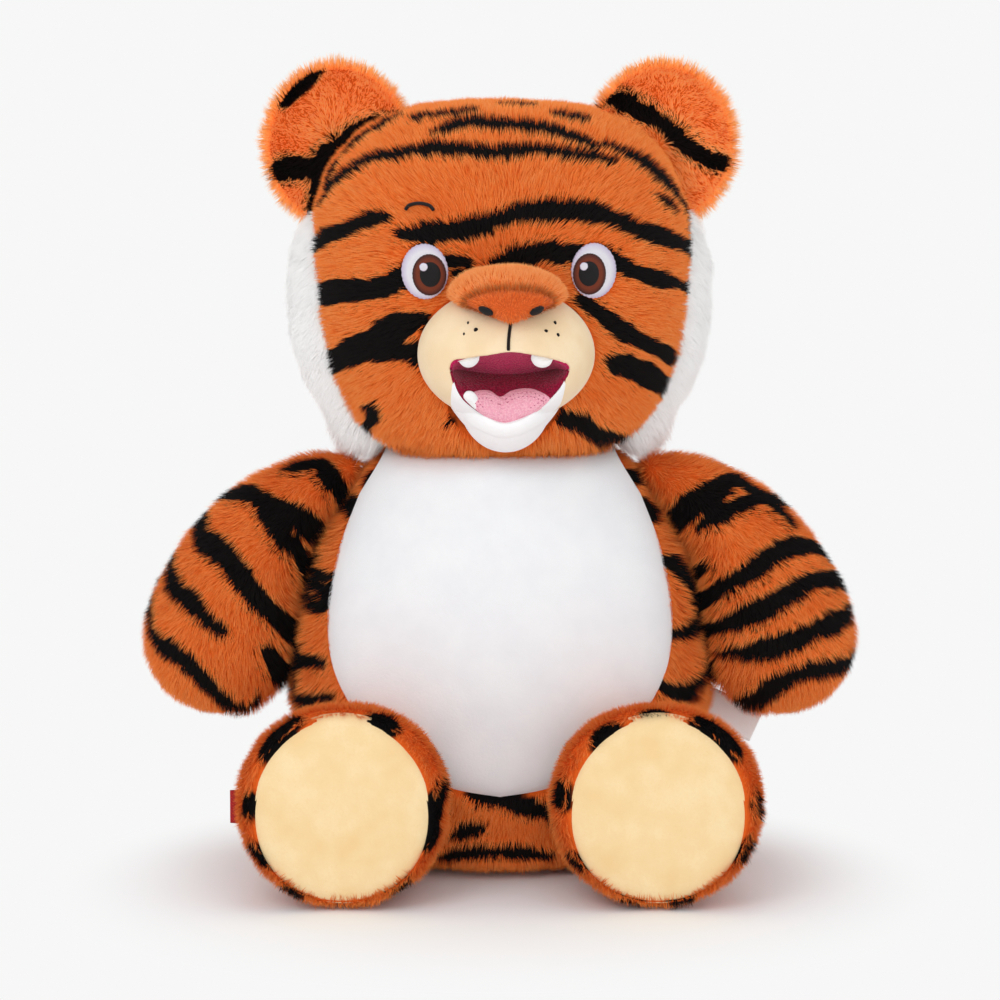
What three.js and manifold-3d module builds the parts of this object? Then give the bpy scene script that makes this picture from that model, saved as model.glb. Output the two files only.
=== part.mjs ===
// A sitting plush tiger, 400 mm tall, as the sewn pieces and fillings that it is made of.
// Millimetres, +Z up, the toy faces -Y, and the origin is on the floor under the torso.
// Left and right are the toy's own: its left side is at +X.
// Heights on the head are measured from the neck's seam, and heights elsewhere from the floor.
import * as THREE from 'three';
import { mergeVertices } from 'three/addons/utils/BufferGeometryUtils.js';
import Module from 'manifold-3d';

const wasm = await Module();
wasm.setup();

// Sizes shared by all pieces
const gap = 0.3; // between pieces that touch
const swingGap = 0.8; // between the torso and what swings against it
const skin = 3; // backing cloth with the dense foot of its pile
const thread = 1.2; // height of embroidery above the pile's foot
const restCut = 0.5; // depth of the flat that the weight presses into each soft underside
const beyond = 300; // how far cutters run past the piece that they cut
const neckHeight = 206; // of the seam between head and torso
const neckCrown = 6; // height of the torso's rounded form above that seam, where the head hides it
const headTurn = THREE.MathUtils.degToRad(3.5);

// Sizes of each piece
const torso = {
  base: -restCut,
  top: neckHeight + neckCrown,
  halfWidth: 104,
  front: 90.5,
  back: 80,
  sideSeam: 9,
  squareness: 2.2,
};
const torsoShares = [
  // height, half width, front, back
  [0, 0, 0, 0],
  [0.01, 0.62, 0.87, 0.6],
  [0.07, 0.85, 0.99, 0.87],
  [0.23, 0.97, 1, 0.985],
  [0.45, 1, 1, 0.97],
  [0.67, 0.92, 0.91, 0.925],
  [0.86, 0.76, 0.77, 0.79],
  [0.97, 0.55, 0.62, 0.6],
  [1, 0, 0, 0],
];
const belly = { halfWidth: 88, bottom: 41, shoulderHalfWidth: 57 };
const bellyShares = [
  // half width, height from the panel's bottom to the neck
  [0, 0],
  [0.29, 0.028],
  [0.45, 0.09],
  [0.72, 0.18],
  [0.93, 0.34],
  [0.98, 0.52],
  [0.92, 0.7],
  [0.8, 0.87],
];
const neckOpening = { halfWidth: 42, halfDepth: 38 };

const head = { base: -4, top: 175, halfWidth: 97, front: 82, back: 76, backSeam: 6, squareness: 2.5 };
const headShares = [
  // height, half width, front, back
  [0, 0, 0, 0],
  [0.012, 0.46, 0.54, 0.5],
  [0.06, 0.7, 0.76, 0.72],
  [0.15, 0.85, 0.89, 0.86],
  [0.31, 0.96, 0.98, 0.96],
  [0.5, 1, 1, 1],
  [0.68, 0.985, 0.94, 0.97],
  [0.84, 0.87, 0.76, 0.83],
  [0.945, 0.65, 0.52, 0.6],
  [0.99, 0.38, 0.3, 0.34],
  [1, 0, 0, 0],
];
const ruff = {
  base: 0.5,
  top: 127,
  inset: 27,
  halfWidth: 39,
  front: 36,
  back: 44,
  shift: 16,
  squareness: 2.4,
};
const ruffShares = [
  // height, half width, front, back, shift towards the neck
  [0, 0, 0, 0, 1],
  [0.02, 0.5, 0.5, 0.5, 0.95],
  [0.1, 0.78, 0.74, 0.74, 0.72],
  [0.28, 0.95, 0.93, 0.93, 0.3],
  [0.5, 1, 1, 1, 0.03],
  [0.76, 0.97, 0.93, 0.95, 0],
  [0.95, 0.7, 0.6, 0.66, 0],
  [1, 0, 0, 0, 0],
];

const eye = {
  centreX: 41,
  centreZ: 94.3,
  insetX: 2,
  fallZ: 1.3,
  white: [11.3, 13.3],
  iris: [8.2, 10],
  pupil: [5.1, 6.1],
  highlight: 1.8,
  highlightX: -2.4,
  highlightZ: 3.7,
};
const brow = { fromX: -50.5, toX: -36.5, archZ: 127, rise: 3.4, width: 1.8 };

// Places in front of the face's cloth are measured from the head's foremost point
const muzzle = { centreZ: 54.5, half: [43.5, 38, 33] };
const bridge = { forward: 10, centreZ: 82, half: [30, 29, 17.5] };
const nose = { halfWidth: 22, topZ: 88, tipZ: 73, forward: 22, centreZ: 81, half: [26, 21.5, 15] };
const noseShares = [
  // across, down
  [-1, 0.16],
  [-0.86, 0],
  [-0.4, -0.14],
  [0, -0.18],
  [0.4, -0.14],
  [0.86, 0],
  [1, 0.16],
  [0.82, 0.42],
  [0.3, 0.84],
  [0, 1],
  [-0.3, 0.84],
  [-0.82, 0.42],
];
const nostril = { centreX: 12, centreZ: 80.5, half: [3.6, 1.7] };
const lipStitch = { halfWidth: 0.9, topZ: 72, bottomZ: 60 };
const mouth = {
  halfWidth: 28,
  cornerZ: 51,
  rise: 8,
  drop: 31,
  forward: 25.5,
  middleZ: 39,
  lean: THREE.MathUtils.degToRad(18),
  depth: 34,
  cloth: 1.6,
};
const palate = { thickness: 2, frontDepth: 4.4, frontZ: 55, fall: THREE.MathUtils.degToRad(24) };
const tongue = { halfWidth: 20, lobeZ: 40, tipZ: 23.5, dip: 3, frontDepth: 4.4, thickness: 8 };
const tongueShares = [
  // across, down
  [0.3, 0.03],
  [0.62, 0],
  [0.9, 0.12],
  [1, 0.34],
  [0.86, 0.6],
  [0.5, 0.87],
];
const jaw = { inset: 8, centreZ: 30.5, half: [28, 34, 25.5] };
const tooth = {
  halfWidth: 4.6,
  height: 4.2,
  root: 7,
  frontDepth: 1,
  thickness: 2.6,
  upperLeftX: 15,
  upperRightX: -20,
  lowerX: -19,
  lowerZ: 32,
};

const ear = {
  inset: 15.5,
  centreY: 5,
  drop: 23.5,
  halfWidth: 37.5,
  halfHeight: 42,
  cloth: 5,
  cup: 15,
  rim: 4,
  rootX: 5.5,
  rootZ: 0.5,
  bend: THREE.MathUtils.degToRad(12),
};

const arm = {
  pivotX: -20,
  pivotDrop: 16,
  shoulderY: -2,
  handY: -11,
  squareness: 2,
  back: THREE.MathUtils.degToRad(-15),
  forward: THREE.MathUtils.degToRad(50),
};
const armLine = [
  // along the middle of the arm: out from the torso's side, down from the neck, half width, half depth
  [-34, 9, 0, 0],
  [-29, 11, 9, 11],
  [-16, 16.5, 16, 19],
  [-1, 26, 21.5, 25],
  [15, 42, 28.5, 30.5],
  [27, 63, 35, 34],
  [35.5, 86, 39.6, 36],
  [42, 108, 37.6, 34.5],
  [46, 125, 27, 26],
  [48, 132.5, 17, 16.5],
  [49, 136, 0, 0],
];
const leg = {
  pivotX: 67,
  pivotY: -52,
  pivotZ: 42,
  squareness: 2.1,
  down: THREE.MathUtils.degToRad(-4),
  up: THREE.MathUtils.degToRad(18),
};
const legLine = [
  // along the middle of the leg: x, y, half width, half height
  [56, 14, 0, 0],
  [57, 10, 17, 17],
  [59, -2, 31, 32],
  [65, -34, 40.5, 39.5],
  [70, -70, 45, 42.5],
  [74, -108, 48.5, 46],
  [75, -134, 52.5, 50],
  [75.5, -147, 51.5, 49.8],
  [75.5, -153.5, 44, 43],
  [75.5, -156.5, 22, 22],
  [75.5, -157, 0, 0],
];
const sole = { halfWidth: 43.2, halfHeight: 44, rimDepth: 17 };
const footTag = { y: -119, z: 44, width: 1.6, length: 2.6, height: 16 };

const tail = { pivotInset: 3, pivotZ: 38, swing: THREE.MathUtils.degToRad(28), radius: 13, squareness: 2 };
const tailLine = [
  // along the middle of the tail: x, out from the torso's back, z
  [0, -18, 38],
  [1, 4, 34],
  [5, 28, 29],
  [16, 52, 27],
  [36, 68, 30],
  [60, 73, 39],
  [80, 66, 52],
];
const tailShares = [0, 0.8, 1, 1, 1, 1, 1.02, 1.06, 1.1, 1.12, 1.14, 1.08, 0.86, 0.5, 0];

const zip = {
  lowInset: 4.6,
  lowZ: 50,
  highInset: 10,
  highZ: 152,
  tapeWidth: 10,
  tapeThickness: 1.2,
  coilWidth: 1.7,
  coilThickness: 2.8,
  halfParting: 0.9,
  slotHalfWidth: 5.8,
  channelHalfWidth: 12,
  channelDepth: 4.4,
};
const slider = {
  halfWidth: 4.4,
  length: 9,
  plate: 1.2,
  postWidth: 1,
  postLength: 2.4,
  bailWidth: 1.6,
  bailHeight: 4,
  bailBar: 1,
  topMargin: 1.2,
};
const pull = { halfWidth: 2.7, bar: 1.2, window: 6, length: 17 };
const careLabel = {
  reach: 14.5,
  length: 29,
  thickness: 1.2,
  height: 18,
  centreZ: 65,
  droop: THREE.MathUtils.degToRad(24),
};

// Faces of the rounded forms: of their outer surfaces, and of the coarser ones inside them
const outlineSides = 18;
const ballSides = 20;
const ballRings = 12;
const earSides = 20;
const earSteps = 7;
const neckSides = 24;
const bodyFaces = { sides: 24, rings: 13, innerSides: 18, innerRings: 10 };
const ruffFaces = { sides: 14, rings: 9, innerSides: 14, innerRings: 9 };
const limbFaces = { sides: 16, rings: 12, innerSides: 12, innerRings: 9 };
const tailFaces = { sides: 10, rings: 16, innerSides: 8, innerRings: 12 };

// Steps in which a moving piece is cut clear of its neighbour
const earClearSteps = 2;
const armClearSteps = 6;
const armHeadClearSteps = 3;
const legClearSteps = 3;
const tailClearSteps = 4;

// Colours from the photograph
const colours = {
  orange: 0xd2682f,
  white: 0xf1eeec,
  belly: 0xf4f2f0,
  cream: 0xf6dcae,
  nose: 0xc4581f,
  black: 0x17110f,
  maroon: 0x8a1f45,
  lining: 0x4c0b1d,
  pink: 0xefa6b8,
  iris: 0x6e3a1f,
  filling: 0xf4f1ea,
  tape: 0xb45a28,
  red: 0xb3202c,
  label: 0xf5f5f3,
};

/** A three.js geometry as a solid that can be joined and cut. */
function solidOf(geometry) {
  const bare = geometry.clone();
  bare.deleteAttribute('normal');
  bare.deleteAttribute('uv');
  const merged = mergeVertices(bare);
  return new wasm.Manifold(
    new wasm.Mesh({
      numProp: 3,
      vertProperties: new Float32Array(merged.attributes.position.array),
      triVerts: new Uint32Array(merged.index.array),
    }),
  );
}

/** A solid as a three.js geometry. */
function geometryOf(solid) {
  const { vertProperties, triVerts } = solid.getMesh();
  const geometry = new THREE.BufferGeometry();
  geometry.setAttribute('position', new THREE.BufferAttribute(new Float32Array(vertProperties), 3));
  geometry.setIndex(Array.from(triVerts));
  geometry.computeVertexNormals();
  return geometry;
}

/** Six times the volume that a geometry's triangles enclose: negative when they face in. */
function sixVolumes(geometry) {
  const { position } = geometry.attributes;
  const corner = [new THREE.Vector3(), new THREE.Vector3(), new THREE.Vector3()];
  let sum = 0;
  for (let start = 0; start < geometry.index.count; start += 3) {
    corner.forEach((point, index) => point.fromBufferAttribute(position, geometry.index.getX(start + index)));
    sum += corner[0].dot(corner[1].cross(corner[2]));
  }
  return sum;
}

/** The solid with each x turned to its opposite. */
function mirrored(solid) {
  const geometry = geometryOf(solid).scale(-1, 1, 1);
  const corners = Array.from(geometry.index.array);
  geometry.setIndex(corners.map((_, index) => corners[index - (index % 3) + 2 - (index % 3)]));
  return solidOf(geometry);
}

/** The solid turned about a line through a point. */
function turned(solid, point, axis, angle) {
  const geometry = geometryOf(solid);
  const place = new THREE.Matrix4().makeTranslation(point);
  const back = new THREE.Matrix4().makeTranslation(point.clone().negate());
  geometry.applyMatrix4(place.multiply(new THREE.Matrix4().makeRotationAxis(axis, angle)).multiply(back));
  return solidOf(geometry);
}

/** The piece less its larger neighbour, at rest and in steps as the piece swings between two angles. */
function keptClear(piece, neighbour, point, axis, from, to, steps) {
  let clear = piece.subtract(neighbour);
  for (let step = 0; step <= steps; step += 1) {
    const angle = THREE.MathUtils.lerp(from, to, step / steps);
    clear = clear.subtract(turned(neighbour, point, axis, -angle));
  }
  return largest(clear);
}

/** The largest of the separate bodies that a cut left. */
function largest(solid) {
  return solid.decompose().reduce((best, body) => (body.volume() > best.volume() ? body : best));
}

/** The rows of a table, with more rows between them on a smooth curve. */
function smoothRows(rows, steps) {
  const curves = rows[0].map(
    (_, column) => new THREE.SplineCurve(rows.map((row, index) => new THREE.Vector2(index, row[column]))),
  );
  const rowAt = (share) => curves.map((curve) => curve.getPoint(share).y);
  return Array.from({ length: steps + 1 }, (_, step) => rowAt(step / steps));
}

/** A sine or cosine drawn out so that the ring that it makes is squarer than an ellipse. */
function squared(value, squareness) {
  return Math.sign(value) * Math.abs(value) ** (2 / squareness);
}

/**
 * A closed form through rings. Each ring has a centre, a half width, and half depths on its two sides,
 * all vectors. The first and last rings are points.
 */
function ringedForm(rings, sides, squareness) {
  const points = [];
  const faces = [];
  rings.slice(1, -1).forEach(({ centre, across, front, back }) => {
    for (let side = 0; side < sides; side += 1) {
      const angle = (side / sides) * 2 * Math.PI;
      const sine = squared(Math.sin(angle), squareness);
      const point = centre.clone().addScaledVector(across, squared(Math.cos(angle), squareness));
      points.push(point.addScaledVector(sine > 0 ? front : back, Math.abs(sine)));
    }
  });
  const first = points.push(rings[0].centre) - 1;
  const last = points.push(rings[rings.length - 1].centre) - 1;
  const lastRing = (rings.length - 3) * sides;
  for (let side = 0; side < sides; side += 1) {
    const next = (side + 1) % sides;
    faces.push(first, next, side);
    faces.push(last, lastRing + side, lastRing + next);
    for (let start = 0; start < lastRing; start += sides) {
      faces.push(start + side, start + next, start + sides + side);
      faces.push(start + next, start + sides + next, start + sides + side);
    }
  }
  const geometry = new THREE.BufferGeometry().setFromPoints(points);
  geometry.setIndex(faces);
  if (sixVolumes(geometry) < 0) {
    geometry.setIndex(faces.reverse());
  }
  return solidOf(geometry);
}

/** The sides and rings of a form whose faces lie at a margin outside its own surface. */
function facesAt(faces, margin) {
  return margin < 0 ? [faces.innerSides, faces.innerRings] : [faces.sides, faces.rings];
}

/** A swelling form that stands upright, such as the torso or the head, grown outwards by a margin. */
function uprightForm(size, centreX, shares, faces, margin) {
  const [sides, rings] = facesAt(faces, margin);
  const base = size.base - margin;
  const height = size.top + margin - base;
  const rows = smoothRows(shares, rings).map(([rise, width, front, back, shift = 0]) => ({
    centre: new THREE.Vector3(centreX - shift * (size.shift ?? 0), 0, base + rise * height),
    across: new THREE.Vector3(width * (size.halfWidth + margin), 0, 0),
    front: new THREE.Vector3(0, -front * (size.front + margin), 0),
    back: new THREE.Vector3(0, back * (size.back + margin), 0),
  }));
  return ringedForm(rows, sides, size.squareness);
}

/** An ellipsoid grown outwards by a margin. */
function ellipsoid(x, y, z, half, margin) {
  const geometry = new THREE.SphereGeometry(1, ballSides, ballRings).rotateX(Math.PI / 2);
  geometry.scale(half[0] + margin, half[1] + margin, half[2] + margin);
  return solidOf(geometry.translate(x, y, z));
}

/** A straight block between two corners. */
function block(low, high) {
  const size = high.map((value, index) => value - low[index]);
  const geometry = new THREE.BoxGeometry(...size);
  return solidOf(geometry.translate(...low.map((value, index) => value + size[index] / 2)));
}

/** An outline of x and z, drawn out along y from a front place to a rear one. */
function prism(outline, frontY, rearY) {
  const shape = new THREE.Shape(outline.map(([x, z]) => new THREE.Vector2(x, z)));
  const depth = rearY - frontY;
  const geometry = new THREE.ExtrudeGeometry(shape, { depth, bevelEnabled: false, curveSegments: 1 });
  return solidOf(geometry.rotateX(Math.PI / 2).translate(0, rearY, 0));
}

/** The outline of an ellipse. */
function ellipse(x, z, halfWidth, halfHeight) {
  return Array.from({ length: outlineSides }, (_, index) => {
    const angle = (index / outlineSides) * 2 * Math.PI;
    return [x + halfWidth * Math.cos(angle), z + halfHeight * Math.sin(angle)];
  });
}

/** A material of one colour with the dull finish of cloth. */
function cloth(color, roughness = 0.95) {
  return new THREE.MeshStandardMaterial({ color, roughness, metalness: 0 });
}

/** A named mesh of a solid. */
function piece(name, solid, material) {
  const mesh = new THREE.Mesh(geometryOf(solid), material);
  mesh.name = name;
  return mesh;
}

// Places before the face, worked out from the head's foremost point
const bridgeY = -head.front - bridge.forward;
const noseY = -head.front - nose.forward;
const lipsY = -head.front - mouth.forward;

// The outer forms that neighbours are cut by
const torsoForm = (margin) => uprightForm(torso, 0, torsoShares, bodyFaces, margin);
const headForm = (margin) => uprightForm(head, 0, headShares, bodyFaces, margin);
const ruffForm = (margin) => uprightForm(ruff, head.halfWidth - ruff.inset, ruffShares, ruffFaces, margin);
const muzzleForm = (margin) => ellipsoid(0, -head.front, muzzle.centreZ, muzzle.half, margin);
const bridgeForm = (margin) => ellipsoid(0, bridgeY, bridge.centreZ, bridge.half, margin);
const aboveNeck = block([-beyond, -beyond, gap], [beyond, beyond, beyond]);
const belowNeck = block([-beyond, -beyond, 0], [beyond, beyond, neckHeight]);

/** An upright round cutter for the openings that head and torso have at the neck. */
function neckHole(height) {
  const geometry = new THREE.CylinderGeometry(1, 1, 1, neckSides).rotateX(Math.PI / 2);
  geometry.scale(neckOpening.halfWidth, neckOpening.halfDepth, neckHeight / 2);
  return solidOf(geometry.translate(0, 0, height));
}

/** The zip's own frame: z runs up along its tapes, and y points out of the back. */
function zipFrame() {
  const rise = new THREE.Vector2(zip.lowInset - zip.highInset, zip.highZ - zip.lowZ);
  const group = new THREE.Group();
  group.position.set(0, torso.back - (zip.lowInset + zip.highInset) / 2, (zip.lowZ + zip.highZ) / 2);
  group.rotation.x = Math.atan2(-rise.x, rise.y);
  group.updateMatrix();
  return { group, length: rise.length() };
}

/** A block in the zip's frame, as a solid in the part's frame. */
function blockAtZip(low, high) {
  const geometry = geometryOf(block(low, high));
  return solidOf(geometry.applyMatrix4(zipFrame().group.matrix));
}

/** The belly panel's outline, wider than the panel by a margin. */
function bellyOutline(margin) {
  const height = neckHeight - belly.bottom;
  const half = smoothRows(bellyShares, outlineSides / 2).map(([width, rise]) => [
    width * (belly.halfWidth + margin),
    belly.bottom - margin + rise * (height + margin),
  ]);
  const shoulder = belly.shoulderHalfWidth + margin;
  const right = [...half, [shoulder, neckHeight], [shoulder, neckHeight + beyond]];
  const left = right.slice(1).map(([x, z]) => [-x, z]);
  return [...right, ...left.reverse()];
}

/** The torso: a skin of four panels round one filling. */
function torsoPieces() {
  const shell = torsoForm(0).intersect(belowNeck).subtract(torsoForm(-skin)).subtract(neckHole(neckHeight));
  const { length } = zipFrame();
  const slot = blockAtZip([-zip.slotHalfWidth, 0, -length / 2], [zip.slotHalfWidth, beyond, length / 2]);
  const channel = blockAtZip(
    [-zip.channelHalfWidth, -zip.channelDepth, -length / 2 - gap],
    [zip.channelHalfWidth, zip.coilThickness / 2 + gap, length / 2 + gap],
  );
  const rear = shell.subtract(slot).subtract(channel);
  const seam = torso.sideSeam;
  const panel = shell.intersect(prism(bellyOutline(0), -beyond, 0));
  const front = shell.intersect(block([-beyond, -beyond, 0], [beyond, seam, beyond]));
  const left = block([gap / 2, seam + gap, 0], [beyond, beyond, beyond]);
  const right = block([-beyond, seam + gap, 0], [-gap / 2, beyond, beyond]);
  const filling = torsoForm(-skin - gap).intersect(belowNeck).subtract(channel);
  const plush = cloth(colours.orange);
  return [
    piece('front_skin', front.subtract(prism(bellyOutline(gap), -beyond, 0)), plush),
    piece('belly_panel', panel, cloth(colours.belly)),
    piece('back_skin_left', largest(rear.intersect(left)), plush.clone()),
    piece('back_skin_right', largest(rear.intersect(right)), plush.clone()),
    piece('body_stuffing', filling, cloth(colours.filling)),
  ];
}

/** One tape of the zip with its half of the coil, on the side that the sign gives. */
function zipTape(side, length) {
  const { tapeWidth, tapeThickness, coilWidth, coilThickness, halfParting } = zip;
  const half = length / 2 - gap;
  const tape = block(
    [halfParting + coilWidth / 2, -tapeThickness / 2, -half],
    [halfParting + tapeWidth, tapeThickness / 2, half],
  );
  const coil = block(
    [halfParting, -coilThickness / 2, -half],
    [halfParting + coilWidth, coilThickness / 2, half],
  );
  const joined = tape.add(coil);
  return side > 0 ? joined : mirrored(joined);
}

/** The slider: plates over and under the coil, a post between the tapes and a bail for the pull. */
function zipSlider() {
  const { halfWidth, length, plate, postWidth, postLength, bailWidth, bailHeight, bailBar } = slider;
  const inner = zip.coilThickness / 2 + gap;
  const outer = inner + plate;
  const half = length / 2;
  const over = block([-halfWidth, inner, -half], [halfWidth, outer, half]);
  const under = block([-halfWidth, -outer, -half], [halfWidth, -inner, half]);
  const post = block([-postWidth / 2, -outer, half - postLength], [postWidth / 2, outer, half]);
  const top = outer + bailHeight;
  const upperFoot = block([-bailWidth / 2, inner, half - bailBar], [bailWidth / 2, top, half]);
  const lowerFoot = block([-bailWidth / 2, inner, -half], [bailWidth / 2, top, bailBar - half]);
  const bar = block([-bailWidth / 2, top - bailBar, -half], [bailWidth / 2, top, half]);
  return over.add(under).add(post).add(upperFoot).add(lowerFoot).add(bar);
}

/** The pull: a cross bar under the bail, two arms and a tab. */
function zipPull() {
  const { halfWidth, bar, window, length } = pull;
  const frame = block([-halfWidth, -bar / 2, -length], [halfWidth, bar / 2, bar / 2]);
  const opening = block([bar - halfWidth, -bar, -window], [halfWidth - bar, bar, -bar / 2]);
  return frame.subtract(opening);
}

/** The zip in the centre back seam, closed, with its slider at the top. */
function zipPieces() {
  const { group, length } = zipFrame();
  const steel = new THREE.MeshStandardMaterial({ color: colours.tape, roughness: 0.45, metalness: 0.2 });
  group.add(piece('zip_tape_left', zipTape(1, length), cloth(colours.tape)));
  group.add(piece('zip_tape_right', zipTape(-1, length), cloth(colours.tape)));
  const body = piece('zip_slider', zipSlider(), steel);
  body.position.z = (length - slider.length) / 2 - slider.topMargin;
  const tab = piece('zip_pull', zipPull(), steel.clone());
  tab.position.y = zip.coilThickness / 2 + gap + slider.plate + (slider.bailHeight - slider.bailBar) / 2;
  body.add(tab);
  group.add(body);
  return group;
}

/** The folded label sewn into the left side seam. */
function careLabelPiece() {
  const { reach, length, thickness, height, centreZ } = careLabel;
  const geometry = new THREE.BoxGeometry(length, thickness, height).rotateY(careLabel.droop);
  geometry.translate(torso.halfWidth + reach, torso.sideSeam, centreZ);
  return piece('care_label', largest(solidOf(geometry).subtract(torsoForm(gap))), cloth(colours.label, 0.8));
}

/** The mouth's outline, wider than the mouth by a margin. */
function mouthOutline(margin) {
  return Array.from({ length: outlineSides }, (_, index) => {
    const angle = (index / outlineSides) * 2 * Math.PI;
    const reach = (Math.sin(angle) > 0 ? mouth.rise : mouth.drop) + margin;
    return [(mouth.halfWidth + margin) * Math.cos(angle), mouth.cornerZ + reach * Math.sin(angle)];
  });
}

/** All that lies between two depths behind the lips, whose plane leans back towards the chin. */
function mouthSlice(from, to) {
  const geometry = new THREE.BoxGeometry(2 * beyond, to - from, 2 * beyond);
  geometry.translate(0, (from + to) / 2, 0).rotateX(mouth.lean);
  return solidOf(geometry.translate(0, lipsY, mouth.middleZ));
}

/** The room that the mouth's pocket takes, wider all round by a margin and open to the front. */
function mouthCutter(margin) {
  return prism(mouthOutline(margin), -beyond, 0).intersect(mouthSlice(-beyond, mouth.depth + margin));
}

/** The head's covers and filling. Face, back and ruffs meet in seams. */
function headCovers() {
  const ruffs = ruffForm(gap).add(mirrored(ruffForm(gap)));
  const mouthHole = mouthCutter(gap);
  const cover = headForm(0).subtract(headForm(-skin)).intersect(aboveNeck);
  const shell = cover.subtract(neckHole(0)).subtract(ruffs);
  const face = shell.intersect(block([-beyond, -beyond, 0], [beyond, head.backSeam, beyond]));
  const back = shell.intersect(block([-beyond, head.backSeam + gap, 0], [beyond, beyond, beyond]));
  const whole = largest(ruffForm(0).subtract(headForm(-skin)).intersect(aboveNeck));
  const filling = headForm(-skin - gap).intersect(aboveNeck).subtract(mouthHole);
  return [
    piece('face_panel', largest(face.subtract(mouthHole)), cloth(colours.orange)),
    piece('head_back', largest(back), cloth(colours.orange)),
    piece('cheek_ruff_left', whole, cloth(colours.white)),
    piece('cheek_ruff_right', mirrored(whole), cloth(colours.white)),
    piece('head_stuffing', filling, cloth(colours.filling)),
  ];
}

/** One embroidered eye: white, iris, pupil and highlight side by side in one layer of thread. */
function eyePieces(side, name, layer) {
  const ball = side * eye.centreX;
  const x = side * (eye.centreX - eye.insetX);
  const z = eye.centreZ - eye.fallZ;
  const spotX = x + eye.highlightX;
  const spotZ = z + eye.highlightZ;
  const ring = ellipse(ball, eye.centreZ, ...eye.white);
  const patch = (halfWidth, halfHeight, margin = 0) =>
    prism(ellipse(x, z, halfWidth + margin, halfHeight + margin), -beyond, 0);
  const spot = (margin) =>
    prism(ellipse(spotX, spotZ, eye.highlight + margin, eye.highlight + margin), -beyond, 0);
  const white = layer.intersect(prism(ring, -beyond, 0)).subtract(patch(...eye.iris, gap));
  const iris = layer.intersect(patch(...eye.iris)).subtract(patch(...eye.pupil, gap)).subtract(spot(gap));
  const pupil = layer.intersect(patch(...eye.pupil)).subtract(spot(gap));
  return [
    piece(`eye_white_${name}`, white, cloth(colours.white, 0.6)),
    piece(`eye_iris_${name}`, iris, cloth(colours.iris, 0.6)),
    piece(`eye_pupil_${name}`, pupil, cloth(colours.black, 0.6)),
    piece(`eye_highlight_${name}`, layer.intersect(spot(0)), cloth(colours.white, 0.6)),
  ];
}

/** The short arched line stitched over the right eye. */
function browPiece(layer) {
  const steps = outlineSides / 2;
  const edge = (offset) =>
    Array.from({ length: steps + 1 }, (_, step) => {
      const share = step / steps;
      const fall = brow.rise * (1 - Math.sqrt(Math.abs(Math.sin(Math.PI * share))));
      return [THREE.MathUtils.lerp(brow.fromX, brow.toX, share), brow.archZ - fall + offset];
    });
  const outline = [...edge(-brow.width / 2), ...edge(brow.width / 2).reverse()];
  return piece('brow_stitch', layer.intersect(prism(outline, -beyond, 0)), cloth(colours.black, 0.7));
}

/** The nose's outline: a rounded triangle that points down. */
function noseOutline() {
  const { halfWidth, topZ, tipZ } = nose;
  return noseShares.map(([across, down]) => [across * halfWidth, topZ - down * (topZ - tipZ)]);
}

/** The nose's outer form before its outline is cut, grown outwards by a margin. */
function noseForm(margin) {
  return ellipsoid(0, noseY, nose.centreZ, nose.half, margin);
}

/** The muzzle, its bridge, nose, nostrils and the stitched line down to the lip. */
function muzzlePieces() {
  const behind = headForm(gap).add(muzzleForm(gap));
  const cheeks = muzzleForm(0).subtract(headForm(gap)).subtract(mouthCutter(gap));
  const top = bridgeForm(0).subtract(behind);
  const tip = noseForm(0).intersect(prism(noseOutline(), -beyond, noseY)).subtract(behind);
  const spot = prism(ellipse(nostril.centreX, nostril.centreZ, ...nostril.half), -beyond, noseY);
  const hole = noseForm(gap + thread).subtract(noseForm(gap)).intersect(spot);
  const { halfWidth, topZ, bottomZ } = lipStitch;
  const strip = block([-halfWidth, -beyond, bottomZ], [halfWidth, -head.front, topZ]);
  const line = muzzleForm(gap + thread).subtract(muzzleForm(gap)).intersect(strip).subtract(bridgeForm(gap));
  return [
    piece('muzzle', largest(cheeks), cloth(colours.cream)),
    piece('nose_bridge', largest(top), cloth(colours.orange)),
    piece('nose', largest(tip.subtract(bridgeForm(gap))), cloth(colours.nose)),
    piece('nostril_left', hole, cloth(colours.black, 0.7)),
    piece('nostril_right', mirrored(hole), cloth(colours.black, 0.7)),
    piece('lip_stitch', largest(line), cloth(colours.black, 0.7)),
  ];
}

/** The tongue's outline: two lobes at the top and one tip. */
function tongueOutline() {
  const { halfWidth, lobeZ, tipZ, dip } = tongue;
  const right = tongueShares.map(([across, down]) => [across * halfWidth, lobeZ - down * (lobeZ - tipZ)]);
  const left = right.map(([x, z]) => [-x, z]).reverse();
  return [[0, lobeZ - dip], ...right, [0, tipZ], ...left];
}

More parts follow.
